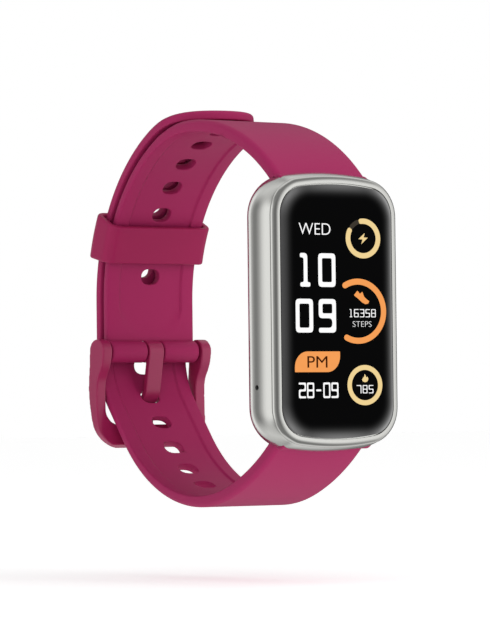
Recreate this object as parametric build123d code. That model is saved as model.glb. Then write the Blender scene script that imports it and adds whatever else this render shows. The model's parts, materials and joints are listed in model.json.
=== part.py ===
from build123d import *
import os
from math import cos, radians, sin, sqrt

# Fitness tracker band, buckled, in millimetres.
# +Z is the 12 o'clock end, the screen faces -Y, +X is the 3 o'clock side.
# The origin is the middle of the wrist opening, level with the middle of the case.

# Driving dimensions: case.
case_width = 25.9
case_length = 44.2
case_corner = 6.6
case_back_y = -21.0          # flat of the case back; depths below run from here towards the screen
widest_depth = 5.0           # where the side wall is widest
back_round = 4.9             # rounding from the side wall to the back
shell_depth = 8.4
side_lean = 9.5              # degrees the front half of the side wall leans inwards
cavity_width, cavity_length, cavity_corner = 21.6, 34.0, 3.0
cavity_floor = 1.4
seat_width, seat_length, seat_corner = 21.4, 39.0, 5.4
seat_depth = 7.7             # where the display panel rests

bezel_width, bezel_length, bezel_corner = 24.6, 42.9, 5.9
bezel_top, bezel_edge = 9.35, 0.9
ledge_depth = 8.75           # the glass rests on this ledge of the bezel
glass_width, glass_length, glass_corner = 21.84, 40.0, 4.4
glass_arch = 48.0            # radius of the arched ends of the glass; the case and bezel follow them
glass_gap = 0.11
glass_edge_depth = 9.3
glass_top_depth, glass_slope = 9.75, 1.3

# Driving dimensions: straps.
strap_width = 17.5
strap_start_thickness = 2.1  # where a strap leaves the case
strap_mid_thickness = 1.95
strap_thin = 1.6             # over the back of the wrist
tail_thickness = 1.55
tail_gap = 0.65              # air between the short strap and the tail that lies over it
strap_edge = 0.45
hole_length, hole_width, hole_pitch, hole_roundness = 3.6, 2.6, 5.4, 0.46
channel_width, channel_depth, channel_corner = 12.4, 0.3, 4.5

# Runs are (radius, turn in degrees) or (length, 0), followed from the case along the wrist side.
short_start, short_heading = (-3.3, 21.1), 43.4
short_runs = [(32.0, -47.0), (18.0, -26.4), (28.0, -60.0), (6.7, 0)]
long_start, long_heading = (-2.4, -20.7), -41.5
long_runs = [(37.0, 20.0), (25.0, 73.3), (7.9, 0), (12.0, 38.2), (9.15, 0)]
tail_offset = strap_thin + tail_gap
tail_runs = [(short_runs[2][0] + tail_offset, 60.0), (short_runs[1][0] + tail_offset, 26.4),
             (short_runs[0][0] + tail_offset, 4.0)]
short_holes = [27.4 + hole_pitch * index for index in range(7)]     # distances along the straps
long_holes = [32.0 + hole_pitch * index for index in range(13)]
short_channel, long_channel = (14.0, 69.2), (22.0, 98.0)
channel_rise = 0.6                       # how far the channel's cutter stands proud of the strap

# Driving dimensions: fittings.
bar_depth, bar_height = 5.3, 20.1        # spring bars, from the case back and from the case middle
strap_root_radius = 1.6
pocket_play, pocket_mouth = 0.15, 1.2
wedge_back, wedge_front = 51.5, 36.9     # degrees round the root where the strap's two faces start
bar_tube_diameter, bar_tube_bore, bar_tip_diameter = 1.5, 1.1, 0.8
bar_reach = 1.0                          # how far a tip enters the case
pin_y, pin_z = 42.6, -5.35               # buckle pin, Y measured from the case back
pin_diameter = 1.3
pin_fit = 0.05                           # radial running fit on the pin
pin_end, pin_edge = 0.3, 0.2
roll_radius = 1.85
frame_inner, frame_outer = 18.3, 22.1    # between and over the buckle arms
frame_head = 2.05
tang_width, tang_thickness = 2.9, 0.95
keeper_angle, keeper_span = 20.0, 13.6   # degrees round the back arc: middle and height
keeper_wall, keeper_play = 1.0, 0.25

tang_start, tang_heading = (41.25, pin_z - 0.25), -79.0
tang_runs = [(6.0, 0), (2.5, 27.0), (2.1, 0), (2.5, -38.0), (2.6, 0)]
tang_play = 0.4                          # beside the tang in the roll's slot and in the crossbar's notch
frame_front = [(42.45, -10.2), (42.7, -13.6), (42.3, -18.0), (41.2, -20.9)]
frame_back = [(42.5, -21.5), (44.0, -17.6), (45.05, -12.0)]
frame_corner, frame_window_corner, frame_window_low = 4.6, 2.6, -17.6
frame_low, frame_reach = -21.6, 14.0     # underside of the crossbar, and the cut that trims the frame
notch_y, notch_z, notch_depth, notch_height = 44.6, -18.6, 1.6, 3.4
keeper_side_play, keeper_corner, keeper_inner_corner = 0.4, 1.7, 0.7
slot_above = 0.45                        # the roll's slot reaches this far past the roll

spring_radius, spring_wire, spring_turns = 0.33, 0.15, 14
spring_start, spring_end = 1.2, 3.75     # from the two ends of the tube
tip_inside, tip_head = 3.6, 2.0          # length of a sliding tip in the tube, and of its wide head
tube_floor, tip_play = 1.0, 0.04

# Driving dimensions: side button, microphone hole.
button_length, button_height, button_travel = 7.6, 2.3, 0.35
button_seat, button_face = case_width / 2 - 1.3, case_width / 2 + 0.35
button_edge, button_play = 0.4, 0.15
stem_length, stem_height, stem_end = 4.4, 1.1, 10.55
seal_thickness, seal_rim, seal_play = 0.12, 0.45, 0.07
mic_height, mic_depth = -11.9, 5.4
mic_hole, mic_rim, mic_rim_depth, mic_port = 0.45, 0.7, 0.18, 0.25
mesh_radius, mesh_thickness = 0.8, 0.12

# Driving dimensions: back of the case.
cover_width, cover_length, cover_corner = 15.6, 33.6, 2.5
cover_thickness, gasket_thickness, cover_play = 0.8, 0.25, 0.1
cover_seat = cover_thickness + gasket_thickness
cover_opening_width, cover_opening_length, opening_corner = 13.4, 27.6, 2.0
screw_radius, screw_head, screw_play = 0.5, 0.9, 0.05
screw_places = [(x, z) for x in (-5.2, 5.2) for z in (-15.3, 15.3)]
head_depth, screw_length, slot_long, slot_wide, slot_deep = 0.4, 2.8, 1.1, 0.25, 0.2
boss_radius, boss_height, boss_floor = 1.4, 1.9, 0.2
window_radius, window_edge, window_lip, glue_gap = 4.6, 0.25, 0.6, 0.02
bump_width, bump_length, bump_height, bump_corner, bump_edge = 11.6, 17.0, 0.9, 4.5, 0.7
contact_places, contact_radius, contact_hole, contact_end = [(-2.5, -11.4), (2.5, -11.4)], 0.98, 1.0, 1.45

# Driving dimensions: inside the case; boxes are x, z, width, length, near depth, far depth.
panel_top = 8.6
panel_play, adhesive_margin = 0.2, 0.4
flex_hang, flex_foot = (0, 14.6, 7.0, 0.2, 6.4, seat_depth), (0, 13.2, 7.0, 3.0, 6.2, 6.4)
board_width, board_length, board_corner, board_near, board_far = 20.6, 32.6, 2.4, 5.6, 6.2
board_holes, board_hole = [(x, z) for x in (-8.6, 8.6) for z in (-13.6, 13.6)], 0.6
mic_notch = (-10.3, mic_height, 2.6, 4.2, 5.5, 6.3)
shield_boxes = [(-4.6, 10.4, 9.0, 8.6, 4.4, 5.6), (-5.8, 1.0, 6.4, 6.0, 6.2, 7.2)]
cell_box, cell_tab, cell_corner = (0, -4.5, 17.6, 18.4, 2.3, 5.3), (0, 5.2, 6.0, 1.0, 3.2, 4.4), 1.2
motor_place, motor_radius, motor_near, motor_far = (5.6, 9.8), 3.8, 2.6, 5.3
motor_lead = (5.6, 5.8, 1.6, 1.2, 4.6, 5.3)
mic_box = (-9.9, mic_height, 1.5, 3.4, 4.3, 6.5)
antenna_strip = (0, 16.7, 15.0, 0.2, 3.6, 7.2)
antenna_wings = [(side * 6.1, 16.4, 2.8, 0.8, 6.4, 7.2) for side in (-1, 1)]
sensor_board_width, sensor_board_length, sensor_board_near, sensor_board_far = 12.6, 24.0, 1.5, 2.0
led_boxes = [(x, 0, 1.6, 1.6, 0.7, 1.5) for x in (-2.2, 2.2)]
led_boxes += [(0, z, 1.8, 1.8, 0.8, 1.5) for z in (-2.3, 2.3)]
switch_box, switch_dome, switch_dome_x = (9.75, 0, 0.5, 5.0, 4.0, 5.55), 0.7, (10.0, 10.15)
soft_edge, overcut = 0.3, 0.1            # small roundings, and how far a cutter runs past a face


# Helpers.
def facing(depth):
    """The plane at a depth from the case back, seen from the screen side."""
    return Plane((0, case_back_y - depth, 0), x_dir=(1, 0, 0), z_dir=(0, -1, 0))


def slab(width, length, corner, near, far):
    """A rounded plate across the case, between two depths from the case back."""
    return extrude(facing(near) * RectangleRounded(width, length, corner), far - near)


def arched(width, length, corner):
    """A rounded rectangle with gently arched ends."""
    radius = glass_arch + (length - glass_length) / 2
    half = width / 2
    side = length / 2 - radius + sqrt(radius ** 2 - half ** 2)
    sketch = make_face([
        Line((half, -side), (half, side)),
        ThreePointArc((half, side), (0, length / 2), (-half, side)),
        Line((-half, side), (-half, -side)),
        ThreePointArc((-half, -side), (0, -length / 2), (half, -side)),
    ])
    return fillet(sketch.vertices(), corner)


def arched_slab(width, length, corner, near, far):
    return extrude(facing(near) * arched(width, length, corner), far - near)


def block(x, z, width, length, near, far):
    """A square-cornered block with its middle at x, z, between two depths."""
    return Pos(x, case_back_y - (near + far) / 2, z) * Box(width, far - near, length)


def disc(x, z, radius, near, far):
    """A cylinder along the depth direction."""
    return Plane((x, case_back_y - near, z), x_dir=(1, 0, 0), z_dir=(0, -1, 0)) * Cylinder(
        radius, far - near, align=(Align.CENTER, Align.CENTER, Align.MIN))


def rod(y, z, radius, x_from, x_to):
    """A cylinder along X; y is measured from the case back."""
    return Plane((x_from, case_back_y + y, z), x_dir=(0, 1, 0), z_dir=(1, 0, 0)) * Cylinder(
        radius, x_to - x_from, align=(Align.CENTER, Align.CENTER, Align.MIN))


def step(station, run, part=1.0):
    """Follow part of one run from a station (y, z, heading)."""
    y, z, heading = station
    size, turn = run
    if turn == 0:
        return (y + part * size * cos(radians(heading)), z + part * size * sin(radians(heading)), heading)
    side = 1 if turn > 0 else -1
    after = heading + part * turn
    y += side * size * (sin(radians(after)) - sin(radians(heading)))
    z -= side * size * (cos(radians(after)) - cos(radians(heading)))
    return (y, z, after)


def run_length(run):
    size, turn = run
    return size if turn == 0 else size * radians(abs(turn))


def stations(start, heading, runs):
    """The station at each joint between runs."""
    found = [(*start, heading)]
    for run in runs:
        found.append(step(found[-1], run))
    return found


def along(start, heading, runs, distance):
    """The station at a distance along the path."""
    here = (*start, heading)
    for run in runs:
        if distance <= run_length(run):
            return step(here, run, distance / run_length(run))
        distance -= run_length(run)
        here = step(here, run)
    return here


def beside(station, out):
    """The point at a distance to the left of a station, in the frame of the part."""
    y, z, heading = station
    return (case_back_y + y - out * sin(radians(heading)), z + out * cos(radians(heading)))


def offset_edges(start, heading, runs, outs):
    """Lines and arcs beside a path, with the distance from it given at each joint."""
    here = (*start, heading)
    edges = []
    for run, out, next_out in zip(runs, outs, outs[1:]):
        there = step(here, run)
        ends = beside(here, out), beside(there, next_out)
        if run[1] == 0:
            edges.append(Line(*ends))
        else:
            middle = beside(step(here, run, 0.5), (out + next_out) / 2)
            edges.append(ThreePointArc(ends[0], middle, ends[1]))
        here = there
    return edges


def across(edges, half_width):
    """Extrude a closed outline in the Y-Z plane both ways along X."""
    return extrude(Plane.YZ * make_face(edges), half_width, both=True)


def hole_cutter(station):
    """An oval hole square to the strap."""
    y, z, heading = station
    plane = Plane((0, case_back_y + y, z), x_dir=(1, 0, 0),
                  z_dir=(0, -sin(radians(heading)), cos(radians(heading))))
    outline = RectangleRounded(hole_length, hole_width, hole_width * hole_roundness)
    return extrude(plane * outline, 2 * strap_start_thickness, both=True)


def spring(y, z, radius, wire, x_from, x_to, turns):
    """A coil spring along X."""
    pitch = (x_to - x_from) / turns
    plane = Plane((x_from, case_back_y + y, z), x_dir=(0, 1, 0), z_dir=(1, 0, 0))
    path = plane * Helix(pitch, x_to - x_from, radius)
    section = Plane(path @ 0, z_dir=path % 0) * Circle(wire)
    return sweep(section, path=path, is_frenet=True)


# Case.
def case_pocket(sign):
    """Room at one end of the case for the root of a strap and its spring bar."""
    root = rod(-bar_depth, sign * bar_height, strap_root_radius + pocket_play,
               -strap_width / 2 - pocket_play, strap_width / 2 + pocket_play)
    mouth = across(root_outline(sign, pocket_play), strap_width / 2 + pocket_play)
    return root + mouth


def root_outline(sign, grow=0.0):
    """The wedge between the spring bar and the place where the strap leaves the case."""
    start, heading = (short_start, short_heading) if sign > 0 else (long_start, long_heading)
    here = (*start, heading)
    away = step(here, (pocket_mouth if grow else 0.0, 0))
    inner, outer = beside(away, -sign * grow), beside(away, sign * (strap_start_thickness + grow))
    bar = (case_back_y - bar_depth, sign * bar_height)
    reach = strap_root_radius + grow
    back = (bar[0] + reach * cos(radians(wedge_back)), bar[1] - sign * reach * sin(radians(wedge_back)))
    front = (bar[0] - reach * cos(radians(wedge_front)), bar[1] + sign * reach * sin(radians(wedge_front)))
    return [Line(back, inner), Line(inner, outer), Line(outer, front), Line(front, back)]


def make_case_shell():
    lower = arched_slab(case_width, case_length, case_corner, 0, widest_depth)
    lower = fillet(lower.faces().sort_by(Axis.Y)[-1].edges(), back_round)
    outline = facing(widest_depth) * arched(case_width, case_length, case_corner)
    upper = extrude(outline, shell_depth - widest_depth, taper=side_lean)
    shell = lower + upper
    shell -= slab(cavity_width, cavity_length, cavity_corner, cavity_floor, shell_depth)
    shell -= slab(seat_width, seat_length, seat_corner, seat_depth, shell_depth)
    shell -= slab(cover_width + 2 * cover_play, cover_length + 2 * cover_play, cover_corner + cover_play, 0,
                  cover_seat)
    shell -= slab(cover_opening_width, cover_opening_length, opening_corner, 0, cavity_floor)
    for x, z in screw_places:
        boss = disc(x, z, boss_radius, cavity_floor - boss_floor, cavity_floor + boss_height)
        shell = shell + boss - disc(x, z, screw_radius, 0, cavity_floor + boss_height - boss_floor)
    for sign in (1, -1):
        shell -= case_pocket(sign)
        half = strap_width / 2 + bar_reach + soft_edge
        shell -= rod(-bar_depth, sign * bar_height, bar_tip_diameter / 2 + pin_fit, -half, half)
    shell -= rod(-mic_depth, mic_height, mic_hole, -case_width, -cavity_width / 2 + overcut)
    shell -= rod(-mic_depth, mic_height, mic_rim, -case_width, -case_width / 2 + mic_rim_depth)
    recess = button_block(button_length + 2 * button_play, button_height + 2 * button_play, button_seat,
                          case_width)
    bore = button_block(stem_length + overcut, stem_height + overcut, cavity_width / 2 - overcut,
                        case_width / 2)
    return shell - recess - bore


def make_bezel():
    ring = arched_slab(bezel_width, bezel_length, bezel_corner, shell_depth, bezel_top)
    ring = fillet(ring.faces().sort_by(Axis.Y)[0].edges(), bezel_edge)
    ring -= arched_slab(glass_width + 2 * glass_gap, glass_length + 2 * glass_gap, glass_corner + glass_gap,
                        ledge_depth, bezel_top)
    return ring - slab(seat_width - panel_play, seat_length - panel_play, seat_corner, shell_depth, ledge_depth)


def make_glass():
    glass = arched_slab(glass_width, glass_length, glass_corner, ledge_depth, glass_top_depth)
    rim = glass.faces().sort_by(Axis.Y)[0].edges()
    return chamfer(rim, glass_top_depth - glass_edge_depth, glass_slope)


# Inside the case.
def make_back_cover():
    cover = slab(cover_width, cover_length, cover_corner, 0, cover_thickness)
    bump = slab(bump_width, bump_length, bump_corner, -bump_height, overcut)
    cover += fillet(bump.faces().sort_by(Axis.Y)[-1].edges(), bump_edge)
    cover -= disc(0, 0, window_radius + glue_gap, -bump_height - overcut, glue_gap)
    cover -= disc(0, 0, window_radius - window_lip, 0, cover_thickness)
    for x, z in screw_places:
        cover -= disc(x, z, screw_radius + screw_play, 0, cover_thickness)
        cover -= disc(x, z, screw_head + screw_play, 0, head_depth)
    for x, z in contact_places:
        cover -= disc(x, z, contact_hole, -overcut, cover_thickness)
    return cover


def make_gasket():
    ring = slab(cover_width, cover_length, cover_corner, cover_thickness, cover_seat)
    ring -= slab(cover_opening_width + 2 * cover_play, cover_opening_length + 2 * cover_play, opening_corner,
                 cover_thickness, cover_seat)
    for x, z in screw_places:
        ring -= disc(x, z, screw_radius + cover_play, cover_thickness, cover_seat)
    return ring


def make_screws():
    screws = []
    for x, z in screw_places:
        head = disc(x, z, screw_head, glue_gap, head_depth - glue_gap)
        screw = head + disc(x, z, screw_radius - glue_gap, head_depth - overcut, screw_length)
        screw -= block(x, z, slot_long, slot_wide, 0, slot_deep)
        screws.append(screw - block(x, z, slot_wide, slot_long, 0, slot_deep))
    return Compound(children=screws)


def make_window():
    window = disc(0, 0, window_radius, -bump_height, 0)
    return fillet(window.edges().group_by(Axis.Y)[-1], window_edge)


def make_sensor_board():
    board = slab(sensor_board_width, sensor_board_length, board_corner, sensor_board_near, sensor_board_far)
    for sign in (-1, 1):
        place = sign * (sensor_board_length / 2 - 2 * board_hole)
        board -= disc(0, place, board_hole, sensor_board_near - overcut, sensor_board_far + overcut)
    return board


def make_leds():
    return Compound(children=[block(*box) for box in led_boxes])


def make_contacts():
    return Compound(children=[disc(x, z, contact_radius, 0, contact_end) for x, z in contact_places])


def make_panel():
    return slab(seat_width - 2 * panel_play, seat_length - 2 * panel_play, seat_corner - panel_play,
                seat_depth, panel_top)


def make_adhesive():
    return slab(seat_width - 2 * adhesive_margin, seat_length - 2 * adhesive_margin,
                seat_corner - adhesive_margin, panel_top, ledge_depth)


def make_display_flex():
    """A ribbon from the back of the display panel down to the main board."""
    return block(*flex_hang) + block(*flex_foot)


def make_main_board():
    board = slab(board_width, board_length, board_corner, board_near, board_far)
    for x, z in board_holes:
        board -= disc(x, z, board_hole, board_near - overcut, board_far + overcut)
    return board - block(*mic_notch)


def make_shields():
    cans = [block(*box) for box in shield_boxes]
    return Compound(children=[fillet(can.edges().filter_by(Axis.Y), 2 * soft_edge) for can in cans])


def make_battery():
    cell = block(*cell_box)
    return fillet(cell.edges().filter_by(Axis.Z), cell_corner) + block(*cell_tab)


def make_motor():
    motor = disc(*motor_place, motor_radius, motor_near, motor_far)
    return fillet(motor.edges(), soft_edge) + block(*motor_lead)


def make_microphone():
    return block(*mic_box) - rod(-mic_depth, mic_height, mic_port, -cavity_width / 2, mic_box[0] - overcut)


def make_mic_mesh():
    return rod(-mic_depth, mic_height, mesh_radius, -cavity_width / 2, -cavity_width / 2 + mesh_thickness)


def make_antenna():
    antenna = block(*antenna_strip)
    for wing in antenna_wings:
        antenna += block(*wing)
    return antenna


# Side button.
def button_block(length, height, x_from, x_to):
    """A capsule along Z at the middle of the side wall, between two X values."""
    plane = Plane((x_from, case_back_y - widest_depth, 0), x_dir=(0, 0, 1), z_dir=(1, 0, 0))
    return extrude(plane * SlotOverall(length, height), x_to - x_from)


def make_button():
    cap = button_block(button_length, button_height, button_seat + button_travel + button_play, button_face)
    cap = fillet(cap.faces().sort_by(Axis.X)[-1].edges(), button_edge)
    return cap + button_block(stem_length, stem_height, stem_end, (button_seat + button_face) / 2)


def make_button_seal():
    near, far = button_seat, button_seat + seal_thickness
    ring = button_block(stem_length + 2 * seal_rim, stem_height + 2 * seal_rim, near, far)
    return ring - button_block(stem_length + 2 * seal_play, stem_height + 2 * seal_play, near, far)


def make_switch():
    return block(*switch_box) + rod(-widest_depth, 0, switch_dome, *switch_dome_x)


# Straps.
def channel_cutter(start, heading, runs, first, last, sign):
    """A cutter for the shallow channel with rounded ends in the wrist side of a strap."""
    joints, travelled = [0.0], 0.0
    for run in runs:
        travelled += run_length(run)
        joints.append(travelled)
    cuts = [first] + [joint for joint in joints if first < joint < last] + [last]
    pieces = []
    for begin, end in zip(cuts, cuts[1:]):
        here, there = along(start, heading, runs, begin), along(start, heading, runs, end)
        middle = along(start, heading, runs, (begin + end) / 2)
        deep, proud = sign * channel_depth, -sign * channel_rise
        outline = [
            ThreePointArc(beside(here, proud), beside(middle, proud), beside(there, proud))
            if abs(here[2] - there[2]) > 1 else Line(beside(here, proud), beside(there, proud)),
            Line(beside(there, proud), beside(there, deep)),
            ThreePointArc(beside(there, deep), beside(middle, deep), beside(here, deep))
            if abs(here[2] - there[2]) > 1 else Line(beside(there, deep), beside(here, deep)),
            Line(beside(here, deep), beside(here, proud)),
        ]
        pieces.append(across(outline, channel_width / 2))
    cutter = pieces[0]
    for piece in pieces[1:]:
        cutter += piece
    corners = cutter.edges().filter_by(lambda edge: abs(edge.length - channel_rise - channel_depth) < 0.05)
    ends = [edge for edge in corners if min(
        (edge.center() - Vector(edge.center().X, *beside(along(start, heading, runs, s), 0))).length
        for s in (first, last)) < 1.0]
    return fillet(ends, channel_corner)


def strap_root(sign):
    """The thick end of a strap, rolled round its spring bar."""
    half = strap_width / 2
    root = rod(-bar_depth, sign * bar_height, strap_root_radius, -half, half)
    return root + across(root_outline(sign), half)


def make_short_strap():
    """From the top of the case to the buckle pin, with its end rolled round the pin."""
    outs = [strap_start_thickness, strap_mid_thickness, strap_thin, strap_thin, strap_thin]
    inner = offset_edges(short_start, short_heading, short_runs, [0] * 5)
    outer = offset_edges(short_start, short_heading, short_runs, outs)
    ends = [Line(inner[-1] @ 1, outer[-1] @ 1), Line(outer[0] @ 0, inner[0] @ 0)]
    half = strap_width / 2
    strap = across(inner + outer + ends, half)
    strap = fillet(strap.edges().filter_by(lambda edge: abs(abs(edge.center().X) - half) < 1e-4
                                           and edge.length > 4), strap_edge)
    strap += strap_root(1)
    strap += rod(pin_y, pin_z, roll_radius, -half, half)
    strap -= channel_cutter(short_start, short_heading, short_runs, *short_channel, 1)
    for distance in short_holes:
        strap -= hole_cutter(along(short_start, short_heading, short_runs, distance))
    strap -= rod(pin_y, pin_z, pin_diameter / 2 + pin_fit, -half, half)
    strap -= rod(-bar_depth, bar_height, bar_tube_diameter / 2 + glue_gap, -half, half)
    slot = Box(tang_width + 2 * tang_play, 3 * roll_radius, 2 * (roll_radius + slot_above))
    return strap - Pos(0, case_back_y + pin_y, pin_z) * slot


def make_long_strap():
    """From the bottom of the case through the buckle and back over the short strap."""
    runs = long_runs + tail_runs
    thick = [strap_start_thickness, strap_mid_thickness, strap_thin, strap_thin] + [tail_thickness] * 5
    inner = offset_edges(long_start, long_heading, runs, [0] * 9)
    outer = offset_edges(long_start, long_heading, runs, [-out for out in thick])
    ends = [Line(inner[-1] @ 1, outer[-1] @ 1), Line(outer[0] @ 0, inner[0] @ 0)]
    half = strap_width / 2
    strap = across(inner + outer + ends, half)
    tip = [edge for edge in strap.edges().filter_by(lambda edge: abs(edge.length - tail_thickness) < 0.05)
           if edge.center().Z > 20 and abs(edge.center().X) > half - 0.01]
    strap = fillet(tip, half - soft_edge)
    strap += strap_root(-1)
    strap -= channel_cutter(long_start, long_heading, runs, *long_channel, -1)
    for distance in long_holes:
        strap -= hole_cutter(along(long_start, long_heading, runs, distance))
    return strap - rod(-bar_depth, -bar_height, bar_tube_diameter / 2 + glue_gap, -half, half)


# Spring bars.
def make_bar_tube(sign):
    half = strap_width / 2
    tube = rod(-bar_depth, sign * bar_height, bar_tube_diameter / 2, -half, half)
    tube -= rod(-bar_depth, sign * bar_height, bar_tube_bore / 2, -half + tube_floor, half)
    return tube + rod(-bar_depth, sign * bar_height, bar_tip_diameter / 2, -half - bar_reach,
                      -half + tube_floor / 2)


def make_bar_tip(sign):
    half = strap_width / 2
    tip = rod(-bar_depth, sign * bar_height, bar_tip_diameter / 2, half - tip_inside, half + bar_reach)
    return tip + rod(-bar_depth, sign * bar_height, bar_tube_bore / 2 - tip_play, half - tip_inside,
                     half - tip_inside + tip_head)


def make_bar_spring(sign):
    half = strap_width / 2
    return spring(-bar_depth, sign * bar_height, spring_radius, spring_wire, -half + spring_start,
                  half - spring_end, spring_turns)


# Buckle and keeper.
def make_pin():
    half = frame_outer / 2 - pin_end
    return fillet(rod(pin_y, pin_z, pin_diameter / 2, -half, half).edges(), pin_edge)


def frame_side():
    """The side profile of the buckle frame: a head round the pin and a bowed arm down to the crossbar."""
    y = case_back_y
    head = [(y + pin_y - frame_head, pin_z), (y + pin_y, pin_z + frame_head), (y + pin_y + frame_head, pin_z)]
    front = [(y + out, z) for out, z in frame_front]
    back = [(y + out, z) for out, z in frame_back]
    return make_face([
        ThreePointArc(*head),
        Spline(head[2], back[2], back[1], back[0], tangents=[(0, -1), (-0.55, -0.84)]),
        Line(back[0], front[3]),
        Spline(front[3], front[2], front[1], front[0], head[0], tangents=[(0.5, 0.86), (-0.1, 1)]),
    ])


def make_frame():
    """Two arms and a crossbar: the side profile trimmed to a rounded U seen from outside."""
    side = extrude(Plane.YZ * frame_side(), frame_outer / 2, both=True)
    behind = Plane((0, case_back_y + pin_y + frame_reach / 2, 0), x_dir=(-1, 0, 0), z_dir=(0, 1, 0))
    height = 2 * (pin_z - frame_low)
    outline = behind * (Pos(0, frame_low + height / 2) * RectangleRounded(frame_outer, height, frame_corner))
    window = behind * (Pos(0, frame_window_low + height / 2)
                       * RectangleRounded(frame_inner, height, frame_window_corner))
    frame = side & extrude(outline, -frame_reach)
    frame -= extrude(window, -frame_reach)
    frame -= rod(pin_y, pin_z, pin_diameter / 2, -frame_outer / 2 + pin_end, frame_outer / 2 - pin_end)
    notch = Box(tang_width + 2 * tang_play, notch_depth, notch_height)
    return frame - Pos(0, case_back_y + notch_y, notch_z) * notch


def make_tang():
    """A flat tongue from the pin through a strap hole to the crossbar."""
    half = tang_thickness / 2
    inner = offset_edges(tang_start, tang_heading, tang_runs, [half] * 6)
    outer = offset_edges(tang_start, tang_heading, tang_runs, [-half] * 6)
    ends = [Line(inner[-1] @ 1, outer[-1] @ 1), Line(outer[0] @ 0, inner[0] @ 0)]
    blade = across(inner + outer + ends, tang_width / 2)
    blade += rod(pin_y, pin_z, roll_radius, -tang_width / 2, tang_width / 2)
    return blade - rod(pin_y, pin_z, pin_diameter / 2 + pin_fit, -tang_width / 2, tang_width / 2)


def back_arc():
    """Middle (y, z) and radius of the strap's third run, round the back of the band."""
    radius = short_runs[2][0]
    y, z, heading = stations(short_start, short_heading, short_runs)[2]
    return (y + radius * sin(radians(heading)), z - radius * cos(radians(heading))), radius


def make_keeper():
    """A closed loop round both layers, curved with the back of the band."""
    (y, z), radius = back_arc()
    inside, outside = radius - keeper_play, radius + tail_offset + tail_thickness + keeper_play
    middle = (inside + outside) / 2
    opening = strap_width + 2 * keeper_side_play
    outer = RectangleRounded(opening + 2 * keeper_wall, outside - inside + 2 * keeper_wall, keeper_corner)
    inner = RectangleRounded(opening, outside - inside, keeper_inner_corner)
    centre = (0, case_back_y + y, z)
    axis = Axis(centre, (1, 0, 0))
    section = Plane(centre, x_dir=(1, 0, 0), z_dir=(0, 0, 1)) * (Pos(0, middle) * (outer - inner))
    loop = revolve(section, axis, keeper_span)
    return loop.rotate(axis, keeper_angle - keeper_span / 2)


nodes = {
    "case_shell": make_case_shell,
    "bezel_ring": make_bezel,
    "cover_glass": make_glass,
    "display_adhesive": make_adhesive,
    "display_panel": make_panel,
    "display_flex": make_display_flex,
    "main_board": make_main_board,
    "shield_cans": make_shields,
    "battery": make_battery,
    "vibration_motor": make_motor,
    "microphone": make_microphone,
    "microphone_mesh": make_mic_mesh,
    "antenna_flex": make_antenna,
    "back_cover": make_back_cover,
    "back_gasket": make_gasket,
    "back_screws": make_screws,
    "sensor_window": make_window,
    "sensor_board": make_sensor_board,
    "sensor_leds": make_leds,
    "charging_contacts": make_contacts,
    "side_button": make_button,
    "button_seal": make_button_seal,
    "button_switch": make_switch,
    "short_strap": make_short_strap,
    "long_strap": make_long_strap,
    "upper_bar_tube": lambda: make_bar_tube(1),
    "upper_bar_tip": lambda: make_bar_tip(1),
    "upper_bar_spring": lambda: make_bar_spring(1),
    "lower_bar_tube": lambda: make_bar_tube(-1),
    "lower_bar_tip": lambda: make_bar_tip(-1),
    "lower_bar_spring": lambda: make_bar_spring(-1),
    "keeper_loop": make_keeper,
    "buckle_frame": make_frame,
    "buckle_pin": make_pin,
    "buckle_tang": make_tang,
}

os.makedirs("parts", exist_ok=True)
for name, make in nodes.items():
    shape = make()
    export_step(shape, f"parts/{name}.step")
    print(name, round(shape.volume, 2))
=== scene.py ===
import json
from functools import partial
from math import asin, atan2, ceil, cos, pi, radians, sin, sqrt

import bmesh
import bpy
from mathutils import Matrix, Vector


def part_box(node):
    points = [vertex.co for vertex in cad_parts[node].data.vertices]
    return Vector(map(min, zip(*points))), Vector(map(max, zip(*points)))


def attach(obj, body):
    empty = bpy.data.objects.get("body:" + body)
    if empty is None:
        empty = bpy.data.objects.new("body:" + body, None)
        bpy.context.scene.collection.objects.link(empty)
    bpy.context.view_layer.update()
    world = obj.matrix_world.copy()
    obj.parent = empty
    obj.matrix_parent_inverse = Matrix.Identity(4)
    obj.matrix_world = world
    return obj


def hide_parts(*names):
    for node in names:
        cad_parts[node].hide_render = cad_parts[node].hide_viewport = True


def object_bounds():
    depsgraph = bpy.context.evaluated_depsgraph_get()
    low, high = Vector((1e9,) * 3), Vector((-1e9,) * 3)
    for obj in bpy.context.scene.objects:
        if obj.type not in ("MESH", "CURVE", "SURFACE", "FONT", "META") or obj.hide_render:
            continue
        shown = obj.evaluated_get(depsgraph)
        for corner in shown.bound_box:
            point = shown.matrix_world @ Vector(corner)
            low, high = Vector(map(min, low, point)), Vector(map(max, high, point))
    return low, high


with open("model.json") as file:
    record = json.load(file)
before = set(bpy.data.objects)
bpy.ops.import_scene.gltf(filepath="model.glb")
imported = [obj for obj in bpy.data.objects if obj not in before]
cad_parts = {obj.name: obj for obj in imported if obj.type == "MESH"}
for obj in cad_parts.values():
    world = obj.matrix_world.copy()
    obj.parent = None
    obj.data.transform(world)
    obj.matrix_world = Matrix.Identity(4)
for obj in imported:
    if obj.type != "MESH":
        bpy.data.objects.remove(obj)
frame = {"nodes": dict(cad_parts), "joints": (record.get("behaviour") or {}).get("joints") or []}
cadLow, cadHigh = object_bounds()
mm = 0.001
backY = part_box("case_shell")[1].y  # flat of the case back; depths run from here towards the screen
print("frame loaded")


def addNode(tree, kind, values=None, **settings):
    node = tree.nodes.new(kind)
    for key, value in settings.items():
        setattr(node, key, value)
    for key, value in (values or {}).items():
        node.inputs[key].default_value = value
    return node


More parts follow.
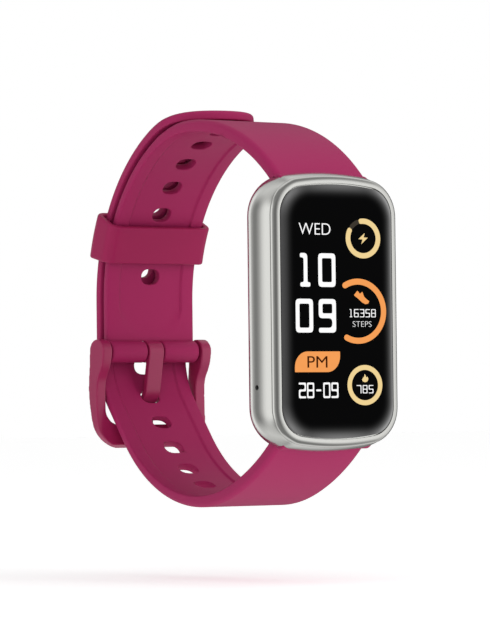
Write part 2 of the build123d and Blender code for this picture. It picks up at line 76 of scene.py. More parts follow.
def newGroup(name, inputs, outputs, kind="ShaderNodeTree"):
    tree = bpy.data.node_groups.new(name, kind)
    for label, socket, value in inputs:
        made = tree.interface.new_socket(label, in_out="INPUT", socket_type=socket)
        if value is not None:
            made.default_value = value
    for label, socket in outputs:
        tree.interface.new_socket(label, in_out="OUTPUT", socket_type=socket)
    return tree, addNode(tree, "NodeGroupInput"), addNode(tree, "NodeGroupOutput")


def mathNode(tree, operation, first, second=None, third=None):
    node = addNode(tree, "ShaderNodeMath", operation=operation)
    for index, value in enumerate((first, second, third)):
        if value is None:
            continue
        if isinstance(value, (int, float)):
            node.inputs[index].default_value = value
        else:
            tree.links.new(value, node.inputs[index])
    return node.outputs[0]


def rangeNode(tree, value, start, end, low=0.0, high=1.0, shape="LINEAR"):
    limits = {"From Min": start, "From Max": end, "To Min": low, "To Max": high}
    node = addNode(tree, "ShaderNodeMapRange", limits, interpolation_type=shape)
    tree.links.new(value, node.inputs["Value"])
    return node.outputs["Result"]


def outlineDistance(tree, sides, corner):
    # distance from a rounded outline, below 0 inside it; sides are (place from the middle, half size)
    past = []
    squares = []
    for place, half in sides:
        flat = mathNode(tree, "SUBTRACT", half, corner)
        past.append(mathNode(tree, "SUBTRACT", mathNode(tree, "ABSOLUTE", place), flat))
        clipped = mathNode(tree, "MAXIMUM", past[-1], 0.0)
        squares.append(mathNode(tree, "MULTIPLY", clipped, clipped))
    reach = mathNode(tree, "SQRT", mathNode(tree, "ADD", *squares))
    within = mathNode(tree, "MINIMUM", mathNode(tree, "MAXIMUM", *past), 0.0)
    return mathNode(tree, "SUBTRACT", mathNode(tree, "ADD", reach, within), corner)


def screenColour(red, green, blue):
    # 0-255 screen values to the linear values that the shaders take
    shares = [c / 255 for c in (red, green, blue)]
    return tuple(c / 12.92 if c <= 0.04 else ((c + 0.055) / 1.055) ** 2.4 for c in shares) + (1.0,)


def makeSurfaceGroup():
    # cloudy tone, fine grain and an edge colour blended in at sharp edges, used by every moulded and metal
    # finish; on the straps the edge colour is painted shade, on the keeper and buckle a painted highlight,
    # elsewhere it lightens the edges
    tree, inside, outside = newGroup("surfaceFinish", [
        ("Colour", "NodeSocketColor", (0.5, 0.5, 0.5, 1)),
                                                       ("Edge Colour", "NodeSocketColor",
                                                        (0.6, 0.6, 0.6, 1)),
        ("Edge Amount", "NodeSocketFloat", 0.3), ("Cloud Scale", "NodeSocketFloat", 180.0),
        ("Cloud Amount", "NodeSocketFloat", 0.05), ("Grain Scale", "NodeSocketFloat", 5000.0),
        ("Grain Depth", "NodeSocketFloat", 0.1), ("Roughness", "NodeSocketFloat", 0.5),
        ("Roughness Spread", "NodeSocketFloat", 0.06)],
        [("Colour", "NodeSocketColor"), ("Roughness", "NodeSocketFloat"), ("Normal", "NodeSocketVector")])
    link = tree.links.new
    place = addNode(tree, "ShaderNodeTexCoord")
    cloud = addNode(tree, "ShaderNodeTexNoise", {"Detail": 3.0})
    grain = addNode(tree, "ShaderNodeTexNoise", {"Detail": 2.0})
    for noise, scale in ((cloud, "Cloud Scale"), (grain, "Grain Scale")):
        link(place.outputs["Object"], noise.inputs["Vector"])
        link(inside.outputs[scale], noise.inputs["Scale"])
    centred = mathNode(tree, "SUBTRACT", cloud.outputs["Fac"], 0.5)
    shift = mathNode(tree, "MULTIPLY_ADD", centred, inside.outputs["Cloud Amount"], 1.0)
    tone = addNode(tree, "ShaderNodeVectorMath", operation="SCALE")
    link(inside.outputs["Colour"], tone.inputs[0])
    link(shift, tone.inputs["Scale"])
    shape = addNode(tree, "ShaderNodeNewGeometry")
    # sharp edges take the Edge Colour: painted shade on the straps, a painted highlight on the keeper and
    # buckle
    sharp = rangeNode(tree, shape.outputs["Pointiness"], 0.52, 0.62)
    edgeShadeAndHighlight = mathNode(tree, "MULTIPLY", sharp, inside.outputs["Edge Amount"])
    blend = addNode(tree, "ShaderNodeMix", data_type="RGBA")
    link(edgeShadeAndHighlight, blend.inputs["Factor"])
    link(tone.outputs[0], blend.inputs["A"])
    link(inside.outputs["Edge Colour"], blend.inputs["B"])
    link(blend.outputs["Result"], outside.inputs["Colour"])
    rough = mathNode(tree, "MULTIPLY_ADD", centred, inside.outputs["Roughness Spread"],
                     inside.outputs["Roughness"])
    link(rough, outside.inputs["Roughness"])
    bump = addNode(tree, "ShaderNodeBump", {"Distance": 0.00002})
    link(inside.outputs["Grain Depth"], bump.inputs["Strength"])
    link(grain.outputs["Fac"], bump.inputs["Height"])
    link(bump.outputs["Normal"], outside.inputs["Normal"])
    return tree


def makeRimGroup():
    # how close a place on the glass is to its rounded outline: 0 on the flat, 1 at the rim
    tree, inside, outside = newGroup("rimFade", [
        ("Half Width", "NodeSocketFloat", 0.011), ("Half Length", "NodeSocketFloat", 0.02),
        ("Corner", "NodeSocketFloat", 0.006), ("Reach", "NodeSocketFloat", 0.002),
                                                 ("Power", "NodeSocketFloat", 1.5)],
        [("Fade", "NodeSocketFloat")])
    parts = addNode(tree, "ShaderNodeSeparateXYZ")
    tree.links.new(addNode(tree, "ShaderNodeTexCoord").outputs["Object"], parts.inputs[0])
    given = inside.outputs
    sides = [(parts.outputs["X"], given["Half Width"]), (parts.outputs["Z"], given["Half Length"])]
    distance = outlineDistance(tree, sides, given["Corner"])
    share = mathNode(tree, "ADD", mathNode(tree, "DIVIDE", distance, given["Reach"]), 1.0)
    held = mathNode(tree, "MINIMUM", mathNode(tree, "MAXIMUM", share, 0.0), 1.0)
    tree.links.new(mathNode(tree, "POWER", held, given["Power"]), outside.inputs["Fade"])
    return tree


surfaceGroup = makeSurfaceGroup()
rimGroup = makeRimGroup()


def surfaceMaterial(name, colour, shader=None, **finish):
    # a Principled surface fed by the shared finish; finish keys are the group's inputs without spaces
    material = bpy.data.materials.new(name)
    material.use_nodes = True
    tree = material.node_tree
    principled = tree.nodes["Principled BSDF"]
    group = addNode(tree, "ShaderNodeGroup", node_tree=surfaceGroup)
    group.inputs["Colour"].default_value = colour
    labels = {"edgeColour": "Edge Colour", "edgeAmount": "Edge Amount", "cloudScale": "Cloud Scale",
              "cloudAmount": "Cloud Amount", "grainScale": "Grain Scale", "grainDepth": "Grain Depth",
              "roughness": "Roughness", "roughnessSpread": "Roughness Spread"}
    for key, value in finish.items():
        group.inputs[labels[key]].default_value = value
    for key, value in (shader or {}).items():
        principled.inputs[key].default_value = value
    tree.links.new(group.outputs["Colour"], principled.inputs["Base Color"])
    tree.links.new(group.outputs["Roughness"], principled.inputs["Roughness"])
    tree.links.new(group.outputs["Normal"], principled.inputs["Normal"])
    return material


def litMaterial(name, colour):
    # a lit part of the display, with a faint unevenness
    material = bpy.data.materials.new(name)
    material.use_nodes = True
    tree = material.node_tree
    principled = tree.nodes["Principled BSDF"]
    for key, value in {"Base Color": (0, 0, 0, 1), "Roughness": 0.15, "Emission Strength": 1.0,
                       "Specular IOR Level": 0.0}.items():
        principled.inputs[key].default_value = value
    place = addNode(tree, "ShaderNodeTexCoord")
    grid = addNode(tree, "ShaderNodeTexNoise", {"Scale": 900.0, "Detail": 1.0})
    tree.links.new(place.outputs["Object"], grid.inputs["Vector"])
    glow = addNode(tree, "ShaderNodeVectorMath", {0: colour[:3]}, operation="SCALE")
    tree.links.new(rangeNode(tree, grid.outputs["Fac"], 0.0, 1.0, 0.97, 1.03), glow.inputs["Scale"])
    tree.links.new(glow.outputs[0], principled.inputs["Emission Color"])
    return material


siliconeShader = {"Specular IOR Level": 0.16}
# dark is painted shade for the strap's edges; edge is a painted highlight for the keeper's and buckle's
# edges
strapColours = {"base": screenColour(164, 38, 92), "dark": screenColour(120, 14, 56),
                "edge": screenColour(182, 64, 110),
                "keeper": screenColour(158, 32, 83)}
metal = {"Metallic": 1.0}
metalColours = {"case": (0.60, 0.60, 0.575, 1), "edge": (0.78, 0.78, 0.76, 1)}

materials = {
    # painted shade: the strap's sharp edges are darkened towards the dark colour
    "strap": surfaceMaterial("strapSilicone", strapColours["base"], siliconeShader,
                             edgeColour=strapColours["dark"],
                             edgeAmount=0.5, cloudAmount=0.06, cloudScale=60, grainDepth=0.25,
                             grainScale=9000,
                             roughness=0.52),
    # painted highlight: the keeper's edges are lightened towards the edge colour
    "keeper": surfaceMaterial("keeperSilicone", strapColours["keeper"], siliconeShader,
                              edgeColour=strapColours["edge"], edgeAmount=0.35, cloudAmount=0.05,
                              grainDepth=0.25,
                              grainScale=9000, roughness=0.45),
    # painted highlight: the buckle's edges are lightened towards the edge colour
    "buckle": surfaceMaterial("buckleMoulding", strapColours["keeper"], {"Specular IOR Level": 0.5},
                              edgeColour=strapColours["edge"], edgeAmount=0.3, cloudAmount=0.04,
                              grainDepth=0.1,
                              roughness=0.34),
    "case": surfaceMaterial("caseAnodised", metalColours["case"], metal, edgeColour=metalColours["edge"],
                            edgeAmount=0.2, cloudAmount=0.02, grainDepth=0.0, roughness=0.16,
                            roughnessSpread=0.02),
    "bezel": surfaceMaterial("bezelAnodised", metalColours["case"], metal, edgeColour=metalColours["edge"],
                             edgeAmount=0.2, cloudAmount=0.02, grainDepth=0.0, roughness=0.13,
                             roughnessSpread=0.02),
    "glass": surfaceMaterial("coverGlassBlack", (0.0004, 0.0004, 0.0005, 1), {"Coat Roughness": 0.06,
                             "Coat IOR": 3.6, "Specular IOR Level": 0.02}, edgeAmount=0.0, cloudAmount=0.2,
                             grainDepth=0.0, roughness=0.15, roughnessSpread=0.01),
    "backPlastic": surfaceMaterial("backPlastic", (0.018, 0.018, 0.02, 1),
                                   edgeColour=(0.06, 0.06, 0.065, 1),
                                   edgeAmount=0.5, grainDepth=0.6, grainScale=5000, roughness=0.55),
    "sensorGlass": surfaceMaterial("sensorGlass", (0.012, 0.012, 0.016, 1), {"Coat Weight": 1.0},
                                   edgeAmount=0.1,
                                   grainDepth=0.0, roughness=0.08, roughnessSpread=0.02),
    "chip": surfaceMaterial("sensorChips", (0.55, 0.6, 0.35, 1), grainDepth=0.1, roughness=0.3),
    "gold": surfaceMaterial("goldPlate", (0.83, 0.6, 0.25, 1), metal, grainDepth=0.1, roughness=0.22),
    "steel": surfaceMaterial("springSteel", (0.55, 0.55, 0.56, 1), metal, edgeColour=(0.8, 0.8, 0.8, 1),
                             grainDepth=0.15, roughness=0.25),
    "board": surfaceMaterial("circuitBoard", (0.01, 0.09, 0.045, 1), {"Coat Weight": 0.4}, cloudScale=900,
                             cloudAmount=0.5, grainDepth=0.3, grainScale=2500, roughness=0.35),
    "shield": surfaceMaterial("shieldTin", (0.6, 0.6, 0.58, 1), metal, grainDepth=0.2, roughness=0.35),
    "cell": surfaceMaterial("cellFoil", (0.62, 0.62, 0.64, 1), metal, cloudScale=400, cloudAmount=0.15,
                            grainDepth=0.5, grainScale=1500, roughness=0.4),
    "film": surfaceMaterial("amberFilm", (0.35, 0.13, 0.02, 1), {"Coat Weight": 0.5}, grainDepth=0.1,
                            roughness=0.3),
    "blackPlastic": surfaceMaterial("blackPlastic", (0.02, 0.02, 0.02, 1), grainDepth=0.4, roughness=0.5),
    "adhesive": surfaceMaterial("adhesiveBlack", (0.02, 0.02, 0.02, 1), grainDepth=0.3, roughness=0.7),
    "white": litMaterial("displayWhite", (1.0, 1.0, 1.0)),
    "orange": litMaterial("displayOrange", screenColour(246, 160, 88)),
    "cream": litMaterial("displayCream", screenColour(240, 212, 150)),
    "dim": litMaterial("displayDim", screenColour(62, 56, 48)),
    "ink": litMaterial("displayInk", screenColour(66, 26, 4)),
}
rimGleamMask = {"Half Width": 0.01092, "Half Length": 0.0199, "Corner": 0.0058, "Reach": 0.0030, "Power": 5.0}
# painted reflection: the coat's weight rises from none on the flat to full at the rim, a gleam painted along
# the glass edge
glassTree = materials["glass"].node_tree
rimNode = addNode(glassTree, "ShaderNodeGroup", node_tree=rimGroup)
for key, value in rimGleamMask.items():
    rimNode.inputs[key].default_value = value
glassTree.links.new(rimNode.outputs["Fade"], glassTree.nodes["Principled BSDF"].inputs["Coat Weight"])

nodeFinishes = {
    "adhesive": ["display_adhesive", "back_gasket", "button_seal"], "glass": ["display_panel"],
    "film": ["display_flex", "antenna_flex"], "board": ["main_board", "sensor_board"],
    "shield": ["shield_cans", "vibration_motor"], "cell": ["battery"],
    "blackPlastic": ["microphone", "microphone_mesh", "button_switch"], "backPlastic": ["back_cover"],
    "sensorGlass": ["sensor_window"], "chip": ["sensor_leds"], "gold": ["charging_contacts"],
    "steel": ["back_screws", "upper_bar_tube", "lower_bar_tube", "upper_bar_tip", "lower_bar_tip",
              "upper_bar_spring", "lower_bar_spring", "buckle_pin"],
    "bezel": ["side_button"],
}
for finish, names in nodeFinishes.items():
    for name in names:
        node = frame["nodes"][name]
        node.data.materials.clear()
        node.data.materials.append(materials[finish])
print("materials ready")


def addObject(name, data):
    made = bpy.data.objects.new(name, data)
    bpy.context.scene.collection.objects.link(made)
    return made


def evaluatedMesh(piece):
    bpy.context.view_layer.update()
    return bpy.data.meshes.new_from_object(piece.evaluated_get(bpy.context.evaluated_depsgraph_get()))


def curveMesh(name, curve):
    # a curve or text as a plain mesh
    temporary = addObject(name, curve)
    mesh = evaluatedMesh(temporary)
    bpy.data.objects.remove(temporary)
    return mesh


def jointPlace(name):
    return next(joint["pos_m"] for joint in frame["joints"] if joint["name"] == name)


def meshObject(name, mesh, material=None):
    made = addObject(name, mesh)
    if material:
        mesh.materials.clear()
        mesh.materials.append(materials[material])
    return made


def fromBmesh(name, work, material=None, angle=35):
    bmesh.ops.remove_doubles(work, verts=work.verts, dist=0.002 * mm)
    bmesh.ops.recalc_face_normals(work, faces=work.faces)
    mesh = bpy.data.meshes.new(name)
    work.to_mesh(mesh)
    work.free()
    mesh.shade_smooth()
    mesh.set_sharp_from_angle(angle=radians(angle))
    return meshObject(name, mesh, material)


def finishPiece(piece, body, slot, *nodes):
    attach(piece, body)
    if nodes:
        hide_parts(*nodes)
    return piece


def applyModifiers(piece):
    mesh = evaluatedMesh(piece)
    piece.modifiers.clear()
    piece.data = mesh
    return piece


def cutAway(piece, *cutters):
    for cutter in cutters:
        modifier = piece.modifiers.new("cut", "BOOLEAN")
        modifier.object, modifier.operation, modifier.solver = cutter, "DIFFERENCE", "EXACT"
    applyModifiers(piece)
    piece.data.shade_smooth()
    piece.data.set_sharp_from_angle(angle=radians(32))
    for cutter in cutters:
        bpy.data.objects.remove(cutter)
    return piece


def gridFaces(work, rows, closeRows=False, closeColumns=True):
    # quads between rows of points that all have the same count
    made = [[work.verts.new(point) for point in row] for row in rows]
    count = len(made[0])
    for index in range(len(made) - (0 if closeRows else 1)):
        here, there = made[index], made[(index + 1) % len(made)]
        for k in range(count - (0 if closeColumns else 1)):
            work.faces.new((here[k], here[(k + 1) % count], there[(k + 1) % count], there[k]))
    return made


def boxCutter(low, high):
    work = bmesh.new()
    bmesh.ops.create_cube(work, size=1.0)
    size = [b - a for a, b in zip(low, high)]
    middle = [(a + b) / 2 for a, b in zip(low, high)]
    bmesh.ops.transform(work, verts=work.verts,
                        matrix=Matrix.Translation(middle) @ Matrix.Diagonal((*size, 1)))
    return fromBmesh("cutter", work)


def rodAlongX(name, centre, profile, material=None, sides=40):
    # a turned piece round an axis along X; profile is (x, radius) from end to end
    work = bmesh.new()
    rows = []
    for k in range(sides):
        angle = 2 * pi * k / sides
        rows.append([(x, centre[0] + r * cos(angle), centre[1] + r * sin(angle)) for x, r in profile])
    gridFaces(work, rows, closeRows=True, closeColumns=True)
    return fromBmesh(name, work, material)


# case, bezel and glass are rings of rounded rectangles stacked in depth
def archedRing(width, length, corner, arch, depth):
    # a rounded rectangle with gently arched ends; sizes and depth in millimetres
    corner = max(corner, 0.02)
    x = width / 2 - corner
    low = length / 2 - arch
    z = low + sqrt((arch - corner) ** 2 - x ** 2)
    meet = atan2(z - low, x)
    quarter = [(width / 2, z * k / 8) for k in range(8)]
    quarter += [(x + corner * cos(meet * k / 12), z + corner * sin(meet * k / 12)) for k in range(12)]
    sweep = (pi / 2 - meet) / 6
    quarter += [(arch * cos(meet + sweep * k), low + arch * sin(meet + sweep * k)) for k in range(6)]
    back = quarter[:0:-1]
    ring = quarter + [(0, length / 2)] + [(-px, pz) for px, pz in back]
    ring += [(-px, -pz) for px, pz in quarter] + [(0, -length / 2)] + [(px, -pz) for px, pz in back]
    return [(px * mm, backY - depth * mm, pz * mm) for px, pz in ring]


def arcPoints(centre, radius, start, end, steps):
    return [(centre[0] + radius * cos(radians(start + (end - start) * k / steps)),
             centre[1] + radius * sin(radians(start + (end - start) * k / steps))) for k in range(steps + 1)]


def ringStack(name, outline, profile, material, closed=True):
    # profile is (inset, depth) in millimetres from the outline (width, length, corner, arch)
    width, length, corner, arch = outline
    work = bmesh.new()
    rings = [archedRing(width - 2 * inset, length - 2 * inset, corner - inset, arch - inset, depth)
             for inset, depth in profile]
    made = gridFaces(work, rings, closeRows=closed)
    if not closed:
        for ring in (made[0], made[-1]):
            middle = work.verts.new(sum((v.co for v in ring), Vector()) / len(ring))
            for k, vert in enumerate(ring):
                work.faces.new((vert, ring[(k + 1) % len(ring)], middle))
    return fromBmesh(name, work, material)


shell = {"outline": (25.9, 44.2, 6.6, 50.1), "backRound": 4.9, "bulgeRadius": 7.9, "bulgeDepth": 5.2,
         "top": 8.4,
         "floor": 1.4, "seat": (2.25, 7.7), "ledge": 0.8, "backSeat": (5.05, 6.15, 1.05),
         "buttonRoom": 0.15, "buttonDepth": 1.2}
# the black cup lining the microphone hole is painted shade on the bore's walls; its black floor closes the
# hole
microphonePort = {"radius": 0.42, "drilled": 2.3, "cupFrom": 0.12, "cupFloor": 1.4, "cupBack": 1.5,
                  "boreShare": 0.97,
                  "wall": 0.05}


def makeCaseShell():
    s = shell
    back = [(s["backRound"] - x, s["backRound"] - y) for x,
            y in arcPoints((0, 0), s["backRound"], 90, 0, 14)]
    bulge, reach = s["bulgeRadius"], s["top"] - 0.1 - s["bulgeDepth"]
    lean = asin(reach / bulge)
    side = [(bulge * (1 - cos(lean * k / 8)),
             s["bulgeDepth"] + bulge * sin(lean * k / 8)) for k in range(9)]
    rimInset = side[-1][0]
    rim = [(rimInset + 0.04, s["top"] - 0.03), (rimInset + 0.14, s["top"])]
    inner = [(s["seat"][0] - 0.1, s["top"]), (s["seat"][0], s["top"] - 0.1), (s["seat"][0], s["seat"][1]),
             (s["seat"][0] + s["ledge"], s["seat"][1]), (s["seat"][0] + s["ledge"], s["floor"])]
    near, away, deep = s["backSeat"]
    flat = [(away, s["floor"]), (away, deep), (near, deep), (near, 0.1), (near - 0.1, 0.0)]
    case = ringStack("caseShell", s["outline"], flat + back + side + rim + inner, "case")
    port = microphonePort
    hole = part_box("microphone_mesh")
    place = ((hole[0].y + hole[1].y) / 2, (hole[0].z + hole[1].z) / 2)
    left, radius = -s["outline"][0] / 2 * mm, port["radius"] * mm
    before, after = left - 1 * mm, left + port["drilled"] * mm
    cutters = [rodAlongX("cutter", place, [(before, 0), (before, radius), (after, radius), (after, 0)])]
    # painted shade: a black cup lines the drilled bore so that it reads dark
    mouthEnd, floor, back = (left + port[key] * mm for key in ("cupFrom", "cupFloor", "cupBack"))
    bore, wall = port["boreShare"] * radius, radius + port["wall"] * mm
    cup = [(mouthEnd, wall), (mouthEnd, bore), (floor, bore), (floor, 0), (back, 0), (back, wall)]
    finishPiece(rodAlongX("microphonePort", place, cup, "blackPlastic"), "case", "black_plastic")
    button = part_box("side_button")
    room = s["buttonRoom"] * mm
    cutters.append(capsuleCutter(button[0].z - room, button[1].z + room, (button[0].y + button[1].y) / 2,
                                 (button[1].y - button[0].y) / 2 + room,
                                 button[1].x - s["buttonDepth"] * mm, button[1].x + 1 * mm))
    cutters += [mouthCutter(sign) for sign in (1, -1)]
    cutAway(case, *cutters)
    return finishPiece(case, "case", "case_metal", "case_shell")


def capsuleCutter(z0, z1, y, radius, x0, x1):
    work = bmesh.new()
    outline = [(y + radius * cos(radians(a)), z1 - radius + radius * sin(radians(a))) for a in range(0, 181,
                                                                                                     12)]
    outline += [(y + radius * cos(radians(a)), z0 + radius + radius * sin(radians(a))) for a in range(180,
                                                                                                      361,
                                                                                                      12)]
    rows = [[(x, py, pz) for py, pz in outline] for x in (x0, x1)]
    made = gridFaces(work, rows)
    for ring in made:
        work.faces.new(ring)
    return fromBmesh("cutter", work)


mouth = {"eye": (5.3, 20.1), "radius": 1.75, "back": 51.5, "front": 36.9, "halfWidth": 8.9,
         "thickness": 2.4,
         "starts": {1: ((-3.3, 21.1), 43.4), -1: ((-2.4, -20.7), -41.5)}, "reach": 4.0, "play": 0.15}


def mouthCutter(sign):
    # the wedge and the round eye that the root of a strap sits in, cut through the end of the case
    m = mouth
    (y, z), heading = m["starts"][sign]
    along = (cos(radians(heading)), sin(radians(heading)))
    out = (-along[1] * sign, along[0] * sign)
    middle = (-m["eye"][0], sign * m["eye"][1])
    inner, outer = [(y + along[0] * m["reach"] + out[0] * away, z + along[1] * m["reach"] + out[1] * away)
                    for away in (-m["play"], m["thickness"] - m["play"])]
    turned = [(middle[0] + m["radius"] * cos(radians(a)), middle[1] - sign * m["radius"] * sin(radians(a)))
              for a in range(int(m["back"]), int(180 + m["front"]) + 1, 12)]
    outline = [(backY + py * mm, pz * mm) for py, pz in [outer, inner] + turned]
    work = bmesh.new()
    half = m["halfWidth"] * mm
    for ring in gridFaces(work, [[(x, py, pz) for py, pz in outline] for x in (-half, half)]):
        work.faces.new(ring)
    return fromBmesh("cutter", work)


bezel = {"corners": (5.9, 49.45), "shoulder": (1.2, 0.84), "softness": 2.0, "glassGap": 0.11}


def makeBezel():
    low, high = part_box("bezel_ring")
    width, length = (high.x - low.x) / mm, (high.z - low.z) / mm
    bottom, top = (backY - high.y) / mm, (backY - low.y) / mm
    glassWidth = (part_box("cover_glass")[1].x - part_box("cover_glass")[0].x) / mm
    inset = (width - glassWidth) / 2 - bezel["glassGap"]
    power = 2 / bezel["softness"]
    a, b = bezel["shoulder"]
    shoulder = [(a * (1 - cos(radians(t)) ** power), top - b + b * sin(radians(t)) ** power)
                for t in (0, 8, 16, 25, 34, 43, 52, 61, 70, 79, 90)]
    profile = [(0.12, bottom), (0.03, bottom + 0.03), (0, bottom + 0.1)] + shoulder
    profile += [(inset - 0.03, top), (inset, top - 0.04), (inset, top - 0.55), (inset + 0.5, top - 0.6),
                (inset + 0.5, bottom)]
    ring = ringStack("bezelRing", (width, length, *bezel["corners"]), profile, "bezel")
    return finishPiece(ring, "case", "bezel_metal", "bezel_ring")


glassDome = {"corners": (4.4, 48.0), "edgeDrop": 0.42, "domeReach": 2.3, "rings": 12}


def makeGlass():
    g = glassDome
    low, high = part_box("cover_glass")
    width, length = (high.x - low.x) / mm, (high.z - low.z) / mm
    bottom, top = (backY - high.y) / mm, (backY - low.y) / mm
    profile = [(0.1, bottom), (0, bottom + 0.08), (0, top - g["edgeDrop"])]
    for k in range(1, g["rings"] + 1):
        share = k / g["rings"]
        inset = g["domeReach"] * share ** 1.6
        fall = g["edgeDrop"] * (1 - inset / g["domeReach"]) ** 2.4
        profile.append((inset, top - fall))
    glass = ringStack("coverGlass", (width, length, *g["corners"]), profile, "glass", closed=False)
    return finishPiece(glass, "case", "cover_glass", "cover_glass")


makeCaseShell()
makeBezel()
makeGlass()
print("case built")


# display content, drawn as thin lit shapes on the glass
display = {"lift": 0.012, "thick": 0.02, "ringStretch": 1.09, "corner": 0.75, "holeCorner": 0.3,
           "texts": [("dayWord", "WED", (-4.59, 12.88), 1.8, 6.2, -0.03, "white"),
                     ("stepsWord", "STEPS", (4.55, -2.0), 0.87, 3.74, -0.03, "white"),
                     ("afternoonWord", "PM", (-4.37, -7.96), 1.8, 3.93, 0.0, "ink")],
           "numbers": [("hourDigits", "10", (-4.53, 6.44), 3.38, 5.28, 1.12, 0.0, "white"),
                       ("minuteDigits", "09", (-4.53, -0.73), 3.38, 5.28, 1.12, 0.0, "white"),
                       ("dateDigits", "28-09", (-4.16, -12.41), 1.45, 2.5, 0.14, -0.03, "white"),
                       ("stepDigits", "16358", (4.58, -0.28), 0.97, 1.35, 0.17, -0.035, "white"),
                       ("calorieDigits", "785", (5.0, -12.29), 1.0, 1.37, 0.2, -0.035, "white")],
           "rings": [("chargeRing", (4.96, 11.54), 3.16, 0.84, -207, 98, "cream"),
                     ("chargeGap", (4.96, 11.54), 3.1, 0.72, 112, 139, "dim"),
                     ("stepsArc", (3.8, 0.03), 5.145, 0.94, -117, 120, "orange"),
                     ("calorieRing", (4.99, -11.64), 3.18, 0.78, -270, 90, "cream")]}

# strokes on a grid 4 wide and 6 high; later outlines are holes
thin, far, low, high = 0.86, 3.14, 2.57, 3.43
top = 6 - thin
glyphs = {
    "0": [[(0, 0), (4, 0), (4, 6), (0, 6)], [(thin, thin), (far, thin), (far, top), (thin, top)]],
    "1": [[(1.15, 0), (3.45, 0), (3.45, 0.8), (2.8, 0.8), (2.8, 6), (1.1, 6), (1.1, 5.2), (1.95, 5.2),
           (1.95, 0.8),
           (1.15, 0.8)]],
    "2": [[(0, 0), (4, 0), (4, thin), (thin, thin), (thin, low), (4, low), (4, 6), (0, 6), (0, top),
           (far, top),
           (far, high), (0, high)]],
    "3": [[(0, 0), (4, 0), (4, 6), (0, 6), (0, top), (far, top), (far, high), (0.8, high), (0.8, low),
           (far, low),
           (far, thin), (0, thin)]],
    "5": [[(0, 0), (4, 0), (4, high), (thin, high), (thin, top), (4, top), (4, 6), (0, 6), (0, low),
           (far, low),
           (far, thin), (0, thin)]],
    "6": [[(0, 0), (4, 0), (4, high), (thin, high), (thin, top), (4, top), (4, 6), (0, 6)],
          [(thin, thin), (far, thin), (far, low), (thin, low)]],
    "7": [[(far, 0), (4, 0), (4, 6), (0, 6), (0, top), (far, top)]],
    "8": [[(0, 0), (4, 0), (4, 6), (0, 6)], [(thin, thin), (far, thin), (far, low), (thin, low)],
          [(thin, high), (far, high), (far, top), (thin, top)]],
    "9": [[(0, 0), (4, 0), (4, 6), (0, 6), (0, low), (far, low), (far, thin), (0, thin)],
          [(thin, high), (far, high), (far, top), (thin, top)]],
    "-": [[(0.6, low), (3.4, low), (3.4, high), (0.6, high)]],
}
icons = {  # outlines in millimetres about their own middle
    "bolt": [(0.35, 0.89), (-0.93, -0.1), (-0.1, -0.14), (-0.35, -0.89), (0.93, 0.16), (0.1, 0.18)],
    "shoe": [(-0.79, 1.07), (-0.28, 0.55), (0.18, 0.91), (0.54, 0.1), (1.05, -0.3), (1.55, -0.58),
             (1.35, -0.95),
             (0.79, -1.07), (0.15, -0.81), (-0.74, -0.14), (-1.5, 0.34)],
    "flame": [(0.0, -0.66), (0.46, -0.52), (0.64, -0.12), (0.44, 0.28), (0.26, 0.06), (0.12, 0.4),
              (-0.1, 0.68),
              (-0.16, 0.3), (-0.46, 0.0), (-0.64, -0.26), (-0.42, -0.54)],
}


def roundCorners(points, radius, steps=3):
    # cut each corner back and run a short curve through it
    made = []
    for index, point in enumerate(points):
        here = Vector(point)
        before, after = Vector(points[index - 1]) - here, Vector(points[(index + 1) % len(points)]) - here
        back = min(radius, before.length * 0.45, after.length * 0.45)
        start, end = here + before.normalized() * back, here + after.normalized() * back
        for k in range(steps + 1):
            share = k / steps
            made.append(tuple(start * (1 - share) ** 2 + here * 2 * share * (1 - share) + end * share ** 2))
    return made


def flatShape(name, outlines, place, material, swell=0.0):
    # a thin plate on the glass from closed outlines in millimetres; the screen faces -Y
    curve = bpy.data.curves.new(name, "CURVE")
    curve.dimensions, curve.fill_mode, curve.offset = "2D", "BOTH", swell * mm
    curve.extrude = display["thick"] / 2 * mm
    for outline in outlines:
        spline = curve.splines.new("POLY")
        spline.points.add(len(outline) - 1)
        for point, (x, z) in zip(spline.points, outline):
            point.co = ((x + place[0]) * mm, (z + place[1]) * mm, 0, 1)
        spline.use_cyclic_u = True
    return standOnGlass(name, curve, material)


def standOnGlass(name, curve, material):
    mesh = curveMesh(name, curve)
    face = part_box("cover_glass")[0].y - display["lift"] * mm
    mesh.transform(Matrix.Translation((0, face, 0)) @ Matrix.Rotation(pi / 2, 4, "X"))
    piece = meshObject(name, mesh, material)
    return finishPiece(piece, "case", "display")


def drawNumber(name, text, place, width, height, gap, swell, material):
    outlines = []
    cell = (width / 4, height / 6)
    total = len(text) * width + (len(text) - 1) * gap
    for index, sign in enumerate(text):
        left = -total / 2 + index * (width + gap)
        for outline in glyphs[sign]:
            inner = outline is not glyphs[sign][0]
            corners = roundCorners(outline, display["holeCorner"] if inner else display["corner"])
            outlines.append([(left + x * cell[0], (y - 3) * cell[1]) for x, y in corners])
    return flatShape(name, outlines, place, material, swell)


def drawRing(name, place, radius, stroke, start, end, material):
    whole = end - start >= 360
    stretch = display["ringStretch"]
    steps = max(12, ceil((end - start) / 6))
    outer, inner = arcPoints((0, 0), radius, start, end, steps), arcPoints((0, 0), radius - stroke, start,
                                                                           end, steps)
    if whole:
        return flatShape(name, [[(x * stretch, z) for x, z in ring[:-1]] for ring in (outer, inner)], place,
                         material)
    middle = radius - stroke / 2
    ends = [arcPoints((middle * cos(radians(a)), middle * sin(radians(a))), stroke / 2, a + turn,
                      a + turn + 180, 8)
            for a, turn in ((end, 0), (start, 180))]
    outline = outer + ends[0][1:-1] + inner[::-1] + ends[1][1:-1]
    return flatShape(name, [[(x * stretch, z) for x, z in outline]], place, material)


